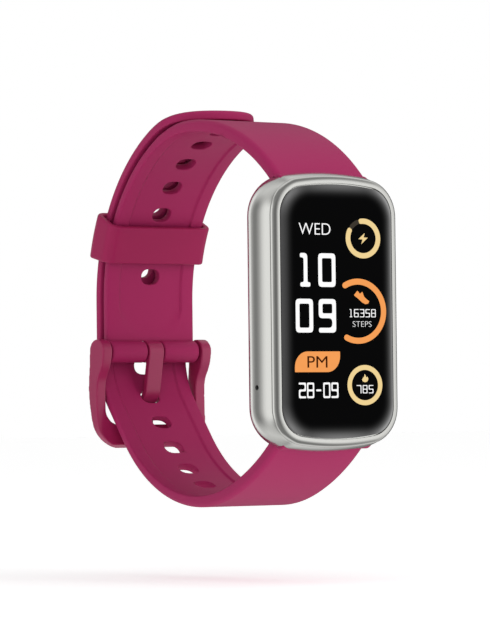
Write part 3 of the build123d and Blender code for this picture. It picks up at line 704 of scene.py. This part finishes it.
def drawText(name, text, place, height, width, swell, material):
    curve = bpy.data.curves.new(name, "FONT")
    curve.body, curve.align_x, curve.align_y = text, "CENTER", "CENTER"
    curve.size = height * mm / 0.7
    curve.extrude = display["thick"] / 2 * mm
    curve.offset = swell * mm
    mesh = curveMesh(name, curve)
    across = [v.co.x for v in mesh.vertices]
    up = [v.co.y for v in mesh.vertices]
    scale = (width * mm / (max(across) - min(across)), height * mm / (max(up) - min(up)), 1)
    middle = ((max(across) + min(across)) / 2, (max(up) + min(up)) / 2, 0)
    raised = material == "ink"
    lift = display["lift"] * (2.0 if raised else 1.0)
    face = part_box("cover_glass")[0].y - lift * mm - (display["thick"] * mm if raised else 0)
    stand = Matrix.Translation((place[0] * mm, face, place[1] * mm)) @ Matrix.Rotation(pi / 2, 4, "X")
    mesh.transform(stand @ Matrix.Diagonal((*scale, 1)) @ Matrix.Translation(-Vector(middle)))
    piece = meshObject(name, mesh, material)
    return finishPiece(piece, "case", "display")


def leafOutline(width, height, big, small):
    # two opposite corners fully rounded, the other two nearly square
    x, z = width / 2, height / 2
    points = arcPoints((-x + big, z - big), big, 180, 90, 10)
    points += arcPoints((x - small, z - small), small, 90, 0, 3)
    points += arcPoints((x - big, -z + big), big, 0, -90, 10)
    return points + arcPoints((-x + small, -z + small), small, -90, -180, 3)


for row in display["numbers"]:
    drawNumber(*row)
for row in display["rings"]:
    drawRing(*row)
for row in display["texts"]:
    drawText(*row)
flatShape("afternoonBadge", [leafOutline(8.85, 3.24, 2.5, 0.12)], (-4.32, -7.94), "orange")
flatShape("chargeBolt", [icons["bolt"]], (4.96, 11.52), "cream")
flatShape("stepShoe", [roundCorners(icons["shoe"], 0.12)], (4.5, 2.21), "orange")
flatShape("calorieFlame", [roundCorners(icons["flame"], 0.1)], (5.04, -10.54), "cream")
print("display drawn")


# each strap is a flat row of repeated slices, bent along its path
strap = {"width": 17.5, "nominal": 2.0, "outerRound": 0.85, "innerRound": 0.3, "pitch": 5.4, "cell": 2.9,
         "holeHalf": (1.8, 1.3), "holePower": 2.5, "lip": 0.17, "sliceSteps": 8,
         "channelHalf": 6.2, "channelCorner": 4.5, "channelDepth": 0.32, "channelStep": 0.5}
shortStrap = {"start": (-3.3, 21.1), "heading": 43.4, "side": 1.0, "rootIn": 2.0,
              "runs": [(32.0, -47.0), (18.0, -26.4), (28.0, -60.0), (6.7, 0)],
              "thickness": [2.1, 1.95, 1.6, 1.6, 1.6], "firstHole": 27.4, "holes": 7,
              "channel": (14.0, 69.2)}
longStrap = {"start": (-2.4, -20.7), "heading": -41.5, "side": -1.0, "rootIn": 2.0,
             "runs": [(37.0, 20.0), (25.0, 73.3), (7.9, 0), (12.0, 38.2), (9.15, 0),
                      (30.25, 60), (20.25, 26.4), (34.25, 4.0)],
             "thickness": [2.1, 1.95, 1.6, 1.6, 1.55, 1.55, 1.55, 1.55, 1.55], "firstHole": 32.0,
             "holes": 13,
             "channel": (22.0, 98.0)}


def runLength(run):
    return run[0] if run[1] == 0 else run[0] * radians(abs(run[1]))


def walk(station, run, share):
    # follow part of a run of (radius, turn) or (length, 0) from (y, z, heading)
    y, z, heading = station
    size, turn = run
    angle = radians(heading)
    if turn == 0:
        return (y + share * size * cos(angle), z + share * size * sin(angle), heading)
    side, after = (1 if turn > 0 else -1), radians(heading + share * turn)
    return (y + side * size * (sin(after) - sin(angle)), z - side * size * (cos(after) - cos(angle)),
            heading + share * turn)


def makePath(name, plan, spacing=0.4):
    # the wrist side of a strap as a curve; the radius of its points carries the strap's thickness
    here = walk((*plan["start"], plan["heading"]), (-plan["rootIn"], 0), 1.0)
    found = [(here, plan["thickness"][0])]
    here = (*plan["start"], plan["heading"])
    found.append((here, plan["thickness"][0]))
    for run, thick, thickAfter in zip(plan["runs"], plan["thickness"], plan["thickness"][1:]):
        steps = ceil(runLength(run) / spacing)
        for k in range(1, steps + 1):
            found.append((walk(here, run, k / steps), thick + (thickAfter - thick) * k / steps))
        here = walk(here, run, 1.0)
    curve = bpy.data.curves.new(name, "CURVE")
    curve.dimensions = "3D"
    spline = curve.splines.new("POLY")
    spline.points.add(len(found) - 1)
    for point, ((y, z, _), thick) in zip(spline.points, found):
        point.co = (0, backY + y * mm, z * mm, 1)
        point.radius = thick * mm
    return addObject(name, curve)


def edgeProfile():
    # half of the strap's section, from the hole cell over the rounded edge to the wrist side
    s = strap
    half, nominal, outer, inner = s["width"] / 2, s["nominal"], s["outerRound"], s["innerRound"]
    points = [(x, nominal) for x in (s["cell"], 3.9, 5.0, 6.1, 7.0)]
    points += arcPoints((half - outer, nominal - outer), outer, 90, 0, 8)
    points += [(half, (nominal - outer + inner) / 2)]
    points += arcPoints((half - inner, inner), inner, 0, -90, 4)
    reach = s["channelStep"] / 2
    step = [s["channelHalf"] + reach * share for share in (1.6, 1.0, 0.6, 0.3, 0.0, -0.3, -0.6, -1.0, -1.6)]
    return points + [(x, 0) for x in step + [4.6, 3.7, s["cell"]]]


def strapSlice(name, holed):
    s = strap
    work = bmesh.new()
    pitch, cell, nominal, lip, steps = s["pitch"], s["cell"], s["nominal"], s["lip"], s["sliceSteps"]
    along = [pitch * k / steps for k in range(steps + 1)]
    across = [cell - 2 * cell * k / steps for k in range(steps + 1)]
    scaled = lambda rows: [[(x * mm, y * mm, t * mm) for x, y, t in row] for row in rows]
    for side in (1, -1):
        gridFaces(work, scaled([[(side * x, y, t) for x, t in edgeProfile()] for y in along]),
                  closeColumns=False)
    if not holed:
        for level in (nominal, 0):
            gridFaces(work, scaled([[(x, y, level) for x in across] for y in along]), closeColumns=False)
        return fromBmesh(name, work)
    border = [(cell, y) for y in along[:-1]] + [(x, pitch) for x in across[:-1]]
    border += [(-cell, y) for y in along[:0:-1]] + [(x, 0) for x in across[:0:-1]]
    middle = pitch / 2

    def ovalPoint(x, y, grow):
        angle = atan2(y - middle, x)
        a, b, power = s["holeHalf"][0] + grow, s["holeHalf"][1] + grow, s["holePower"]
        reach = (abs(cos(angle) / a) ** power + abs(sin(angle) / b) ** power) ** (-1 / power)
        return reach * cos(angle), middle + reach * sin(angle)

    def ring(level, share, grow):
        row = []
        for x, y in border:
            ox, oy = ovalPoint(x, y, grow)
            row.append((x + (ox - x) * share, y + (oy - y) * share, level))
        return row

    arc = [(lip * (1 - sin(radians(a))), lip * (1 - cos(radians(a)))) for a in (0, 30, 60, 90)]
    rows = [ring(nominal, 0, lip), ring(nominal, 0.45, lip), ring(nominal, 0.8, lip)]
    rows += [ring(nominal - drop, 1, grow) for grow, drop in arc]
    rows += [ring(nominal / 2, 1, 0)] + [ring(drop, 1, grow) for grow, drop in arc[::-1]]
    rows += [ring(0, 0.8, lip), ring(0, 0.45, lip), ring(0, 0, lip)]
    gridFaces(work, scaled(rows))
    return fromBmesh(name, work)


def strapTip(name):
    # the section turned half a circle about the strap's middle
    s = strap
    work = bmesh.new()
    centre = [s["cell"] * k / (s["sliceSteps"] / 2) for k in range(int(s["sliceSteps"] / 2))]
    profile = [(x, s["nominal"]) for x in centre] + edgeProfile() + [(x, 0) for x in centre[::-1]]
    rows = [[(x * cos(radians(a)) * mm, x * sin(radians(a)) * mm, t * mm) for x, t in profile]
            for a in range(0, 181, 6)]
    gridFaces(work, rows, closeColumns=False)
    return fromBmesh(name, work)


def makeStrapTree():
    rows = ("Root", "Holes", "End")
    inputs = [("Path", "NodeSocketObject", None), ("Tip", "NodeSocketObject", None),
              ("Tip Start", "NodeSocketFloat", 0.1)]
    for row in rows:
        inputs += [(f"{row} Slice", "NodeSocketObject", None), (f"{row} Start", "NodeSocketFloat", 0.0),
                   (f"{row} Count", "NodeSocketInt", 4), (f"{row} Length", "NodeSocketFloat", 0.0054)]
    inputs += [("Slice Length", "NodeSocketFloat", 0.0054), ("Nominal Thickness", "NodeSocketFloat", 0.002),
               ("Outer Side", "NodeSocketFloat", 1.0), ("Channel Start", "NodeSocketFloat", 0.01),
               ("Channel End", "NodeSocketFloat", 0.06), ("Channel Half Width", "NodeSocketFloat", 0.006),
               ("Channel Corner", "NodeSocketFloat", 0.004), ("Channel Depth", "NodeSocketFloat", 0.0003),
               ("Channel Step", "NodeSocketFloat", 0.0005), ("Root Inside", "NodeSocketFloat", 0.002),
               ("Material", "NodeSocketMaterial", None)]
    tree, inside, outside = newGroup("bentStrap", inputs, [("Geometry", "NodeSocketGeometry")],
                                     "GeometryNodeTree")
    link, given = tree.links.new, inside.outputs
    calc = partial(mathNode, tree)
    joined = addNode(tree, "GeometryNodeJoinGeometry")
    for row in rows:
        info = addNode(tree, "GeometryNodeObjectInfo")
        link(given[f"{row} Slice"], info.inputs["Object"])
        start, pitch = addNode(tree, "ShaderNodeCombineXYZ"), addNode(tree, "ShaderNodeCombineXYZ")
        link(given[f"{row} Start"], start.inputs["Y"])
        link(given[f"{row} Length"], pitch.inputs["Y"])
        line = addNode(tree, "GeometryNodeMeshLine")
        link(given[f"{row} Count"], line.inputs["Count"])
        link(start.outputs[0], line.inputs["Start Location"])
        link(pitch.outputs[0], line.inputs["Offset"])
        scale = addNode(tree, "ShaderNodeCombineXYZ", {"X": 1.0, "Z": 1.0})
        link(calc("DIVIDE", given[f"{row} Length"], given["Slice Length"]), scale.inputs["Y"])
        placed = addNode(tree, "GeometryNodeInstanceOnPoints")
        link(line.outputs["Mesh"], placed.inputs["Points"])
        link(info.outputs["Geometry"], placed.inputs["Instance"])
        link(scale.outputs[0], placed.inputs["Scale"])
        link(placed.outputs["Instances"], joined.inputs["Geometry"])
    info = addNode(tree, "GeometryNodeObjectInfo")
    link(given["Tip"], info.inputs["Object"])
    shift = addNode(tree, "ShaderNodeCombineXYZ")
    link(given["Tip Start"], shift.inputs["Y"])
    moved = addNode(tree, "GeometryNodeTransform")
    link(info.outputs["Geometry"], moved.inputs["Geometry"])
    link(shift.outputs[0], moved.inputs["Translation"])
    link(moved.outputs["Geometry"], joined.inputs["Geometry"])
    real = addNode(tree, "GeometryNodeRealizeInstances")
    link(joined.outputs["Geometry"], real.inputs["Geometry"])
    merged = addNode(tree, "GeometryNodeMergeByDistance", {"Distance": 0.00002})
    link(real.outputs["Geometry"], merged.inputs["Geometry"])
    flat = addNode(tree, "ShaderNodeSeparateXYZ")
    link(addNode(tree, "GeometryNodeInputPosition").outputs[0], flat.inputs[0])
    x, along, level = flat.outputs
    # the shallow channel: depth by the distance inside a rounded outline
    halfLength = calc("MULTIPLY", calc("SUBTRACT", given["Channel End"], given["Channel Start"]), 0.5)
    middle = calc("MULTIPLY", calc("ADD", given["Channel End"], given["Channel Start"]), 0.5)
    sides = [(x, given["Channel Half Width"]), (calc("SUBTRACT", along, middle), halfLength)]
    distance = outlineDistance(tree, sides, given["Channel Corner"])
    reach = calc("MULTIPLY", given["Channel Step"], 0.5)
    pressed = addNode(tree, "ShaderNodeMapRange", {"To Min": 1.0, "To Max": 0.0},
                      interpolation_type="SMOOTHSTEP")
    link(distance, pressed.inputs["Value"])
    link(calc("MULTIPLY", reach, -1.0), pressed.inputs["From Min"])
    link(reach, pressed.inputs["From Max"])
    share = calc("SUBTRACT", 1.0, calc("DIVIDE", level, given["Nominal Thickness"]))
    depth = calc("MULTIPLY", calc("MULTIPLY", pressed.outputs["Result"], given["Channel Depth"]), share)
    raised = calc("ADD", level, depth)
    # bend: the place along the path, then out by the thickness there
    path = addNode(tree, "GeometryNodeObjectInfo")
    link(given["Path"], path.inputs["Object"])
    sample = addNode(tree, "GeometryNodeSampleCurve", mode="LENGTH", data_type="FLOAT")
    link(path.outputs["Geometry"], sample.inputs["Curves"])
    link(addNode(tree, "GeometryNodeInputRadius").outputs[0], sample.inputs["Value"])
    link(calc("ADD", along, given["Root Inside"]), sample.inputs["Length"])
    outward = addNode(tree, "ShaderNodeVectorMath", {0: (1, 0, 0)}, operation="CROSS_PRODUCT")
    link(sample.outputs["Tangent"], outward.inputs[1])
    height = calc("MULTIPLY", calc("DIVIDE", raised, given["Nominal Thickness"]),
                      calc("MULTIPLY", sample.outputs["Value"], given["Outer Side"]))
    lifted = addNode(tree, "ShaderNodeVectorMath", operation="SCALE")
    link(outward.outputs[0], lifted.inputs[0])
    link(height, lifted.inputs["Scale"])
    placed = addNode(tree, "ShaderNodeVectorMath", operation="ADD")
    link(sample.outputs["Position"], placed.inputs[0])
    link(lifted.outputs[0], placed.inputs[1])
    wide = addNode(tree, "ShaderNodeCombineXYZ")
    link(x, wide.inputs["X"])
    final = addNode(tree, "ShaderNodeVectorMath", operation="ADD")
    link(placed.outputs[0], final.inputs[0])
    link(wide.outputs[0], final.inputs[1])
    bent = addNode(tree, "GeometryNodeSetPosition")
    link(merged.outputs["Geometry"], bent.inputs["Geometry"])
    link(final.outputs[0], bent.inputs["Position"])
    painted = addNode(tree, "GeometryNodeSetMaterial")
    link(bent.outputs["Geometry"], painted.inputs["Geometry"])
    link(given["Material"], painted.inputs["Material"])
    link(painted.outputs["Geometry"], outside.inputs["Geometry"])
    return tree


def setInputs(modifier, values):
    # sockets are set by their identifiers
    known = {item.name: item.identifier for item in modifier.node_group.interface.items_tree
             if item.item_type == "SOCKET" and item.in_out == "INPUT"}
    for name, value in values.items():
        modifier[known[name]] = value


strapTree = makeStrapTree()
slices = {"plain": strapSlice("plainSlice", False), "holed": strapSlice("holedSlice", True),
          "tip": strapTip("tipSlice")}


def rowOf(start, end, pitch):
    count = max(1, ceil((end - start) / pitch - 0.2))
    return start * mm, count, (end - start) / count * mm


def makeStrap(name, plan, withTip):
    s = strap
    path = makePath(name + "Path", plan)
    length = sum(runLength(run) for run in plan["runs"])
    end = length - s["width"] / 2 if withTip else length
    first = plan["firstHole"] - s["pitch"] / 2
    last = first + plan["holes"] * s["pitch"]
    host = meshObject(name, bpy.data.meshes.new(name))
    modifier = host.modifiers.new("bentStrap", "NODES")
    modifier.node_group = strapTree
    values = {"Path": path, "Slice Length": s["pitch"] * mm, "Nominal Thickness": s["nominal"] * mm,
              "Outer Side": plan["side"], "Channel Start": plan["channel"][0] * mm,
              "Channel End": plan["channel"][1] * mm, "Channel Half Width": s["channelHalf"] * mm,
              "Channel Corner": s["channelCorner"] * mm, "Channel Depth": s["channelDepth"] * mm,
              "Channel Step": s["channelStep"] * mm, "Root Inside": plan["rootIn"] * mm,
              "Material": materials["strap"], "Tip Start": end * mm}
    if withTip:
        values["Tip"] = slices["tip"]
    rows = {"Root": ("plain", rowOf(-plan["rootIn"], first, s["pitch"])),
            "Holes": ("holed", (first * mm, plan["holes"], s["pitch"] * mm)),
            "End": ("plain", rowOf(last, end, s["pitch"]))}
    for label, (kind, (start, count, size)) in rows.items():
        values.update({f"{label} Slice": slices[kind], f"{label} Start": start, f"{label} Count": count,
                       f"{label} Length": size})
    setInputs(modifier, values)
    applyModifiers(host)
    work = bmesh.new()
    work.from_mesh(host.data)
    bmesh.ops.remove_doubles(work, verts=work.verts, dist=0.004 * mm)
    bmesh.ops.holes_fill(work, edges=[edge for edge in work.edges if edge.is_boundary], sides=0)
    bpy.data.objects.remove(host)
    bpy.data.objects.remove(path)
    return fromBmesh(name, work, "strap", angle=40)


pin = jointPlace("buckle_swing")
roll = {"outer": 1.85, "bore": 0.7, "edge": 0.3, "slotHalf": 1.75, "slotAbove": 0.0}
eye = {"outer": 1.6, "bore": 0.77, "edge": 0.3}


def tubeProfile(outer, bore, edge, start, end):
    outside = [(start + edge - x, outer - edge + y) for x, y in arcPoints((0, 0), edge, 0, 90, 4)]
    outside += [(end - edge + x, outer - edge + y) for x, y in arcPoints((0, 0), edge, 90, 0, 4)]
    return [(x * mm, r * mm) for x, r in [(start, bore)] + outside + [(end, bore)]]


def joinPieces(name, pieces):
    work = bmesh.new()
    for piece in pieces:
        work.from_mesh(piece.data)
        bpy.data.objects.remove(piece)
    return fromBmesh(name, work, "strap")


half = strap["width"] / 2
shortPiece = makeStrap("shortStrap", shortStrap, False)
slot = roll["slotHalf"] * mm
slotTop = pin[2] + (roll["outer"] + roll["slotAbove"]) * mm
cutAway(shortPiece, boxCutter((-slot, pin[1] - 4 * mm, pin[2] - 4 * mm), (slot, pin[1] + 4 * mm, slotTop)))
finishPiece(shortPiece, "case", "strap_silicone", "short_strap")
rollEnds = [rodAlongX("rollEnd", pin[1:], tubeProfile(roll["outer"], roll["bore"], roll["edge"], *span),
                      "strap")
            for span in ((-half, -roll["slotHalf"]), (roll["slotHalf"], half))]
finishPiece(joinPieces("strapRoll", rollEnds), "case", "strap_silicone")
longPiece = makeStrap("longStrap", longStrap, True)
finishPiece(longPiece, "case", "strap_silicone", "long_strap")
for name, node in (("upperStrapEye", "upper_bar_tube"), ("lowerStrapEye", "lower_bar_tube")):
    low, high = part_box(node)
    place = ((low.y + high.y) / 2, (low.z + high.z) / 2)
    made = rodAlongX(name, place, tubeProfile(eye["outer"], eye["bore"], eye["edge"], -half, half), "strap")
    finishPiece(made, "case", "strap_silicone")
for piece in slices.values():
    bpy.data.objects.remove(piece)
print("straps bent")


# the keeper is a rounded loop swept round the back of the band
keeper = {"wall": 1.0, "sideWall": 1.0, "corner": 1.7, "innerCorner": 0.7, "edge": 0.35, "steps": 10}


def sectionRing(halfWidth, near, away, corner, perCorner=10, perSide=10):
    # rounded rectangle across the strap, as (x, distance from the middle of the arc)
    middle, halfHeight = (near + away) / 2, (away - near) / 2
    signs = ((1, 1), (-1, 1), (-1, -1), (1, -1))
    points = []
    for k, (sx, sy) in enumerate(signs):
        centre = (sx * (halfWidth - corner), middle + sy * (halfHeight - corner))
        points += arcPoints(centre, corner, 90 * k, 90 * (k + 1), perCorner)
        following = signs[(k + 1) % 4]
        target = (following[0] * (halfWidth - corner) + corner * cos(radians(90 * (k + 1))),
                  middle + following[1] * (halfHeight - corner) + corner * sin(radians(90 * (k + 1))))
        start = points[-1]
        points += [(start[0] + (target[0] - start[0]) * i / perSide,
                    start[1] + (target[1] - start[1]) * i / perSide)
                   for i in range(1, perSide)]
    return points


def makeKeeper():
    centre = jointPlace("keeper_slide")
    mesh = frame["nodes"]["keeper_loop"].data
    reach = [sqrt((v.co.y - centre[1]) ** 2 + (v.co.z - centre[2]) ** 2) / mm for v in mesh.vertices]
    turn = [atan2(v.co.z - centre[2], v.co.y - centre[1]) for v in mesh.vertices]
    near, away, first, last = min(reach), max(reach), min(turn), max(turn)
    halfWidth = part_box("keeper_loop")[1].x / mm
    wall, edge = keeper["wall"], keeper["edge"]
    outer = sectionRing(halfWidth, near, away, keeper["corner"])
    inner = sectionRing(halfWidth - keeper["sideWall"], near + wall, away - wall, keeper["innerCorner"])
    edgeTurn = edge / ((near + away) / 2)
    profile = [(0, first + edgeTurn + (last - first - 2 * edgeTurn) * k / keeper["steps"])
               for k in range(keeper["steps"] + 1)]
    profile += [(edge * (1 - cos(radians(a))), last - edgeTurn * (1 - sin(radians(a)))) for a in (22, 45,
                                                                                                  67, 90)]
    profile += [(wall - edge * (1 - cos(radians(a))), last - edgeTurn * (1 - sin(radians(a)))) for a in (90,
                                                                                                         60,
                                                                                                         30,
                                                                                                         0)]
    profile += [(wall, first + edgeTurn)]
    profile += [(wall - edge * (1 - cos(radians(a))),
                 first + edgeTurn * (1 - sin(radians(a)))) for a in (30, 60, 90)]
    profile += [(edge * (1 - cos(radians(a))), first + edgeTurn * (1 - sin(radians(a)))) for a in (90, 67,
                                                                                                   45, 22)]
    rows = []
    for depth, angle in profile:
        share = depth / wall
        row = []
        for (ax, ar), (bx, br) in zip(outer, inner):
            x, r = ax + (bx - ax) * share, ar + (br - ar) * share
            row.append((x * mm, centre[1] + r * mm * cos(angle), centre[2] + r * mm * sin(angle)))
        rows.append(row)
    work = bmesh.new()
    gridFaces(work, rows, closeRows=True)
    return finishPiece(fromBmesh("keeperLoop", work, "keeper"), "keeper", "keeper_silicone", "keeper_loop")


makeKeeper()


# the buckle is made of soft moulded copies of the worked shapes
# grain of the new surface in millimetres, smoothing passes
moulded = {"frame": (0.13, 8), "tang": (0.09, 6)}


def softCopy(name, node, grain, passes, material):
    work = bmesh.new()
    work.from_mesh(frame["nodes"][node].data)
    bmesh.ops.remove_doubles(work, verts=work.verts, dist=0.001 * mm)
    copy = fromBmesh(name, work, material)
    remesh = copy.modifiers.new("remesh", "REMESH")
    remesh.mode, remesh.voxel_size = "VOXEL", grain * mm
    smooth = copy.modifiers.new("smooth", "SMOOTH")
    smooth.factor, smooth.iterations = 0.5, passes
    applyModifiers(copy)
    copy.data.shade_smooth()
    return copy


finishPiece(softCopy("buckleFrame", "buckle_frame", *moulded["frame"], "buckle"), "buckle",
            "buckle_plastic", "buckle_frame")
finishPiece(softCopy("buckleTang", "buckle_tang", *moulded["tang"], "buckle"), "tang", "tang_plastic",
            "buckle_tang")
print("keeper and buckle built")


view = {"turn": 35.88, "climb": -1.54, "roll": 0.66, "distance": 602.637, "shiftRight": 9.0475,
        "shiftUp": -0.7345,
        "focal": 220.3}


def addCamera():
    v = view
    turn, climb, roll = -radians(v["turn"]), radians(v["climb"]), radians(v["roll"])
    away = Vector((sin(turn) * cos(climb), -cos(turn) * cos(climb), sin(climb)))
    right = Vector((cos(turn), sin(turn), 0))
    up = right.cross(-away)
    place = away * v["distance"] - right * v["shiftRight"] - up * v["shiftUp"]
    place = place * mm + Vector((0, backY, 0))
    across = right * cos(roll) - up * sin(roll)
    data = bpy.data.cameras.new("camera")
    data.lens, data.sensor_width = v["focal"], 36
    data.clip_start, data.clip_end = 0.01, 20
    camera = addObject("camera", data)
    axes = Matrix((across, away.cross(across), away)).transposed().to_4x4()
    camera.matrix_world = Matrix.Translation(place) @ axes
    bpy.context.scene.camera = camera
    return camera


studio = {"floorDrop": 12.0, "floorHalf": 3.0, "floorGlow": 0.42, "steep": (0.3, 0.75),
          "overhead": (0.9, 1.0, 0.9),
          "fall": (-0.8, 0.8, 0.6, 1.0),
          "level": [(50, 0.2), (80, 0.35), (90, 0.9), (101, 1.3), (110, 0.7), (118, 0.45), (125, 0.3),
                    (131, 0.28),
                    (138, 0.42), (142, 0.55), (147, 0.75), (152, 1.0), (160, 1.2), (176, 1.2), (186, 1.0),
                    (200, 0.55),
                    (218, 0.36), (236, 0.26), (250, 0.2), (263, 0.27), (274, 0.5), (287, 0.9), (300, 1.2),
                    (350, 0.9)],
          "raised": [(50, 0.9), (66, 0.5), (88, 0.7), (120, 0.9), (158, 0.7), (180, 0.3), (230, 0.28),
                     (330, 0.28),
                     (350, 0.5)],
          "soft": [(30, 0.5), (100, 0.4), (180, 0.5), (235, 1.0), (300, 1.0), (350, 0.7)],
          "lamps": [("keyLamp", (0.25, -0.85, 0.35), 0.7, 2.0), ("fillLamp", (-0.5, -0.8, -0.1), 0.7, 1.0)]}


def azimuthRamp(tree, share, stops):
    ramp = addNode(tree, "ShaderNodeValToRGB")
    tree.links.new(share, ramp.inputs[0])
    made = ramp.color_ramp.elements
    while len(made) > 1:
        made.remove(made[-1])
    for index, (degrees, level) in enumerate(stops):
        stop = made[0] if index == 0 else made.new(degrees / 360)
        stop.position, stop.color = degrees / 360, (level, level, level, 1)
    return ramp.outputs["Color"]


def mixColours(tree, factor, first, second):
    node = addNode(tree, "ShaderNodeMix", data_type="RGBA")
    for value, socket in ((factor, "Factor"), (first, "A"), (second, "B")):
        if isinstance(value, tuple):
            node.inputs[socket].default_value = value
        else:
            tree.links.new(value, node.inputs[socket])
    return node.outputs["Result"]


def addWorld():
    # a pale studio; mirrored surfaces see soft light panels and dark gaps between them
    world = bpy.data.worlds.new("studio")
    bpy.context.scene.world = world
    world.use_nodes = True
    tree = world.node_tree
    place = addNode(tree, "ShaderNodeTexCoord")
    parts = addNode(tree, "ShaderNodeSeparateXYZ")
    tree.links.new(place.outputs["Generated"], parts.inputs[0])
    angle = mathNode(tree, "ARCTAN2", parts.outputs["Y"], parts.outputs["X"])
    share = mathNode(tree, "FRACT", mathNode(tree, "DIVIDE", angle, 2 * pi))
    height = mathNode(tree, "ABSOLUTE", parts.outputs["Z"])
    level, raised, ring = (azimuthRamp(tree, share, studio[name]) for name in ("level", "raised", "soft"))
    *overFrom, overLevel = studio["overhead"]
    panels = mixColours(tree, rangeNode(tree, height, *studio["steep"], shape="SMOOTHSTEP"), level, raised)
    over = rangeNode(tree, height, *overFrom, shape="SMOOTHSTEP")
    panels = mixColours(tree, over, panels, (overLevel, overLevel, overLevel, 1.0))
    soft = addNode(tree, "ShaderNodeVectorMath", operation="SCALE")
    tree.links.new(ring, soft.inputs[0])
    tree.links.new(rangeNode(tree, parts.outputs["Z"], *studio["fall"]), soft.inputs["Scale"])
    rays = addNode(tree, "ShaderNodeLightPath")
    seen = mixColours(tree, rays.outputs["Is Glossy Ray"], soft.outputs[0], panels)
    shown = mixColours(tree, rays.outputs["Is Camera Ray"], seen, (1.0, 1.0, 1.0, 1.0))
    tree.links.new(shown, tree.nodes["Background"].inputs["Color"])


def addFloor():
    work = bmesh.new()
    size, level = studio["floorHalf"], cadLow.z - studio["floorDrop"] * mm
    work.faces.new([work.verts.new((x, y, level)) for x,
                    y in ((-size, -size), (size, -size), (size, size), (-size, size))])
    floor = fromBmesh("floor", work)
    material = bpy.data.materials.new("paleFloor")
    material.use_nodes = True
    principled = material.node_tree.nodes["Principled BSDF"]
    for key, value in {"Base Color": (0.9, 0.9, 0.9, 1), "Roughness": 0.9, "Emission Color": (1, 1, 1, 1),
                       "Emission Strength": studio["floorGlow"], "Specular IOR Level": 0.0}.items():
        principled.inputs[key].default_value = value
    # mirrored surfaces look past the floor to the light panels
    tree = material.node_tree
    clear = addNode(tree, "ShaderNodeBsdfTransparent")
    mix = addNode(tree, "ShaderNodeMixShader")
    tree.links.new(addNode(tree, "ShaderNodeLightPath").outputs["Is Glossy Ray"], mix.inputs["Fac"])
    tree.links.new(principled.outputs["BSDF"], mix.inputs[1])
    tree.links.new(clear.outputs["BSDF"], mix.inputs[2])
    tree.links.new(mix.outputs["Shader"], tree.nodes["Material Output"].inputs["Surface"])
    floor.data.materials.append(material)


def addLamps():
    for name, place, size, power in studio["lamps"]:
        data = bpy.data.lights.new(name, "AREA")
        data.shape, data.size, data.energy = "DISK", size, power
        lamp = addObject(name, data)
        lamp.location = place
        lamp.rotation_euler = (-Vector(place)).to_track_quat("-Z", "Y").to_euler()
        lamp.visible_glossy = False


addCamera()
addWorld()
addFloor()
addLamps()
bpy.context.scene.view_settings.view_transform = "Standard"
print("studio ready")
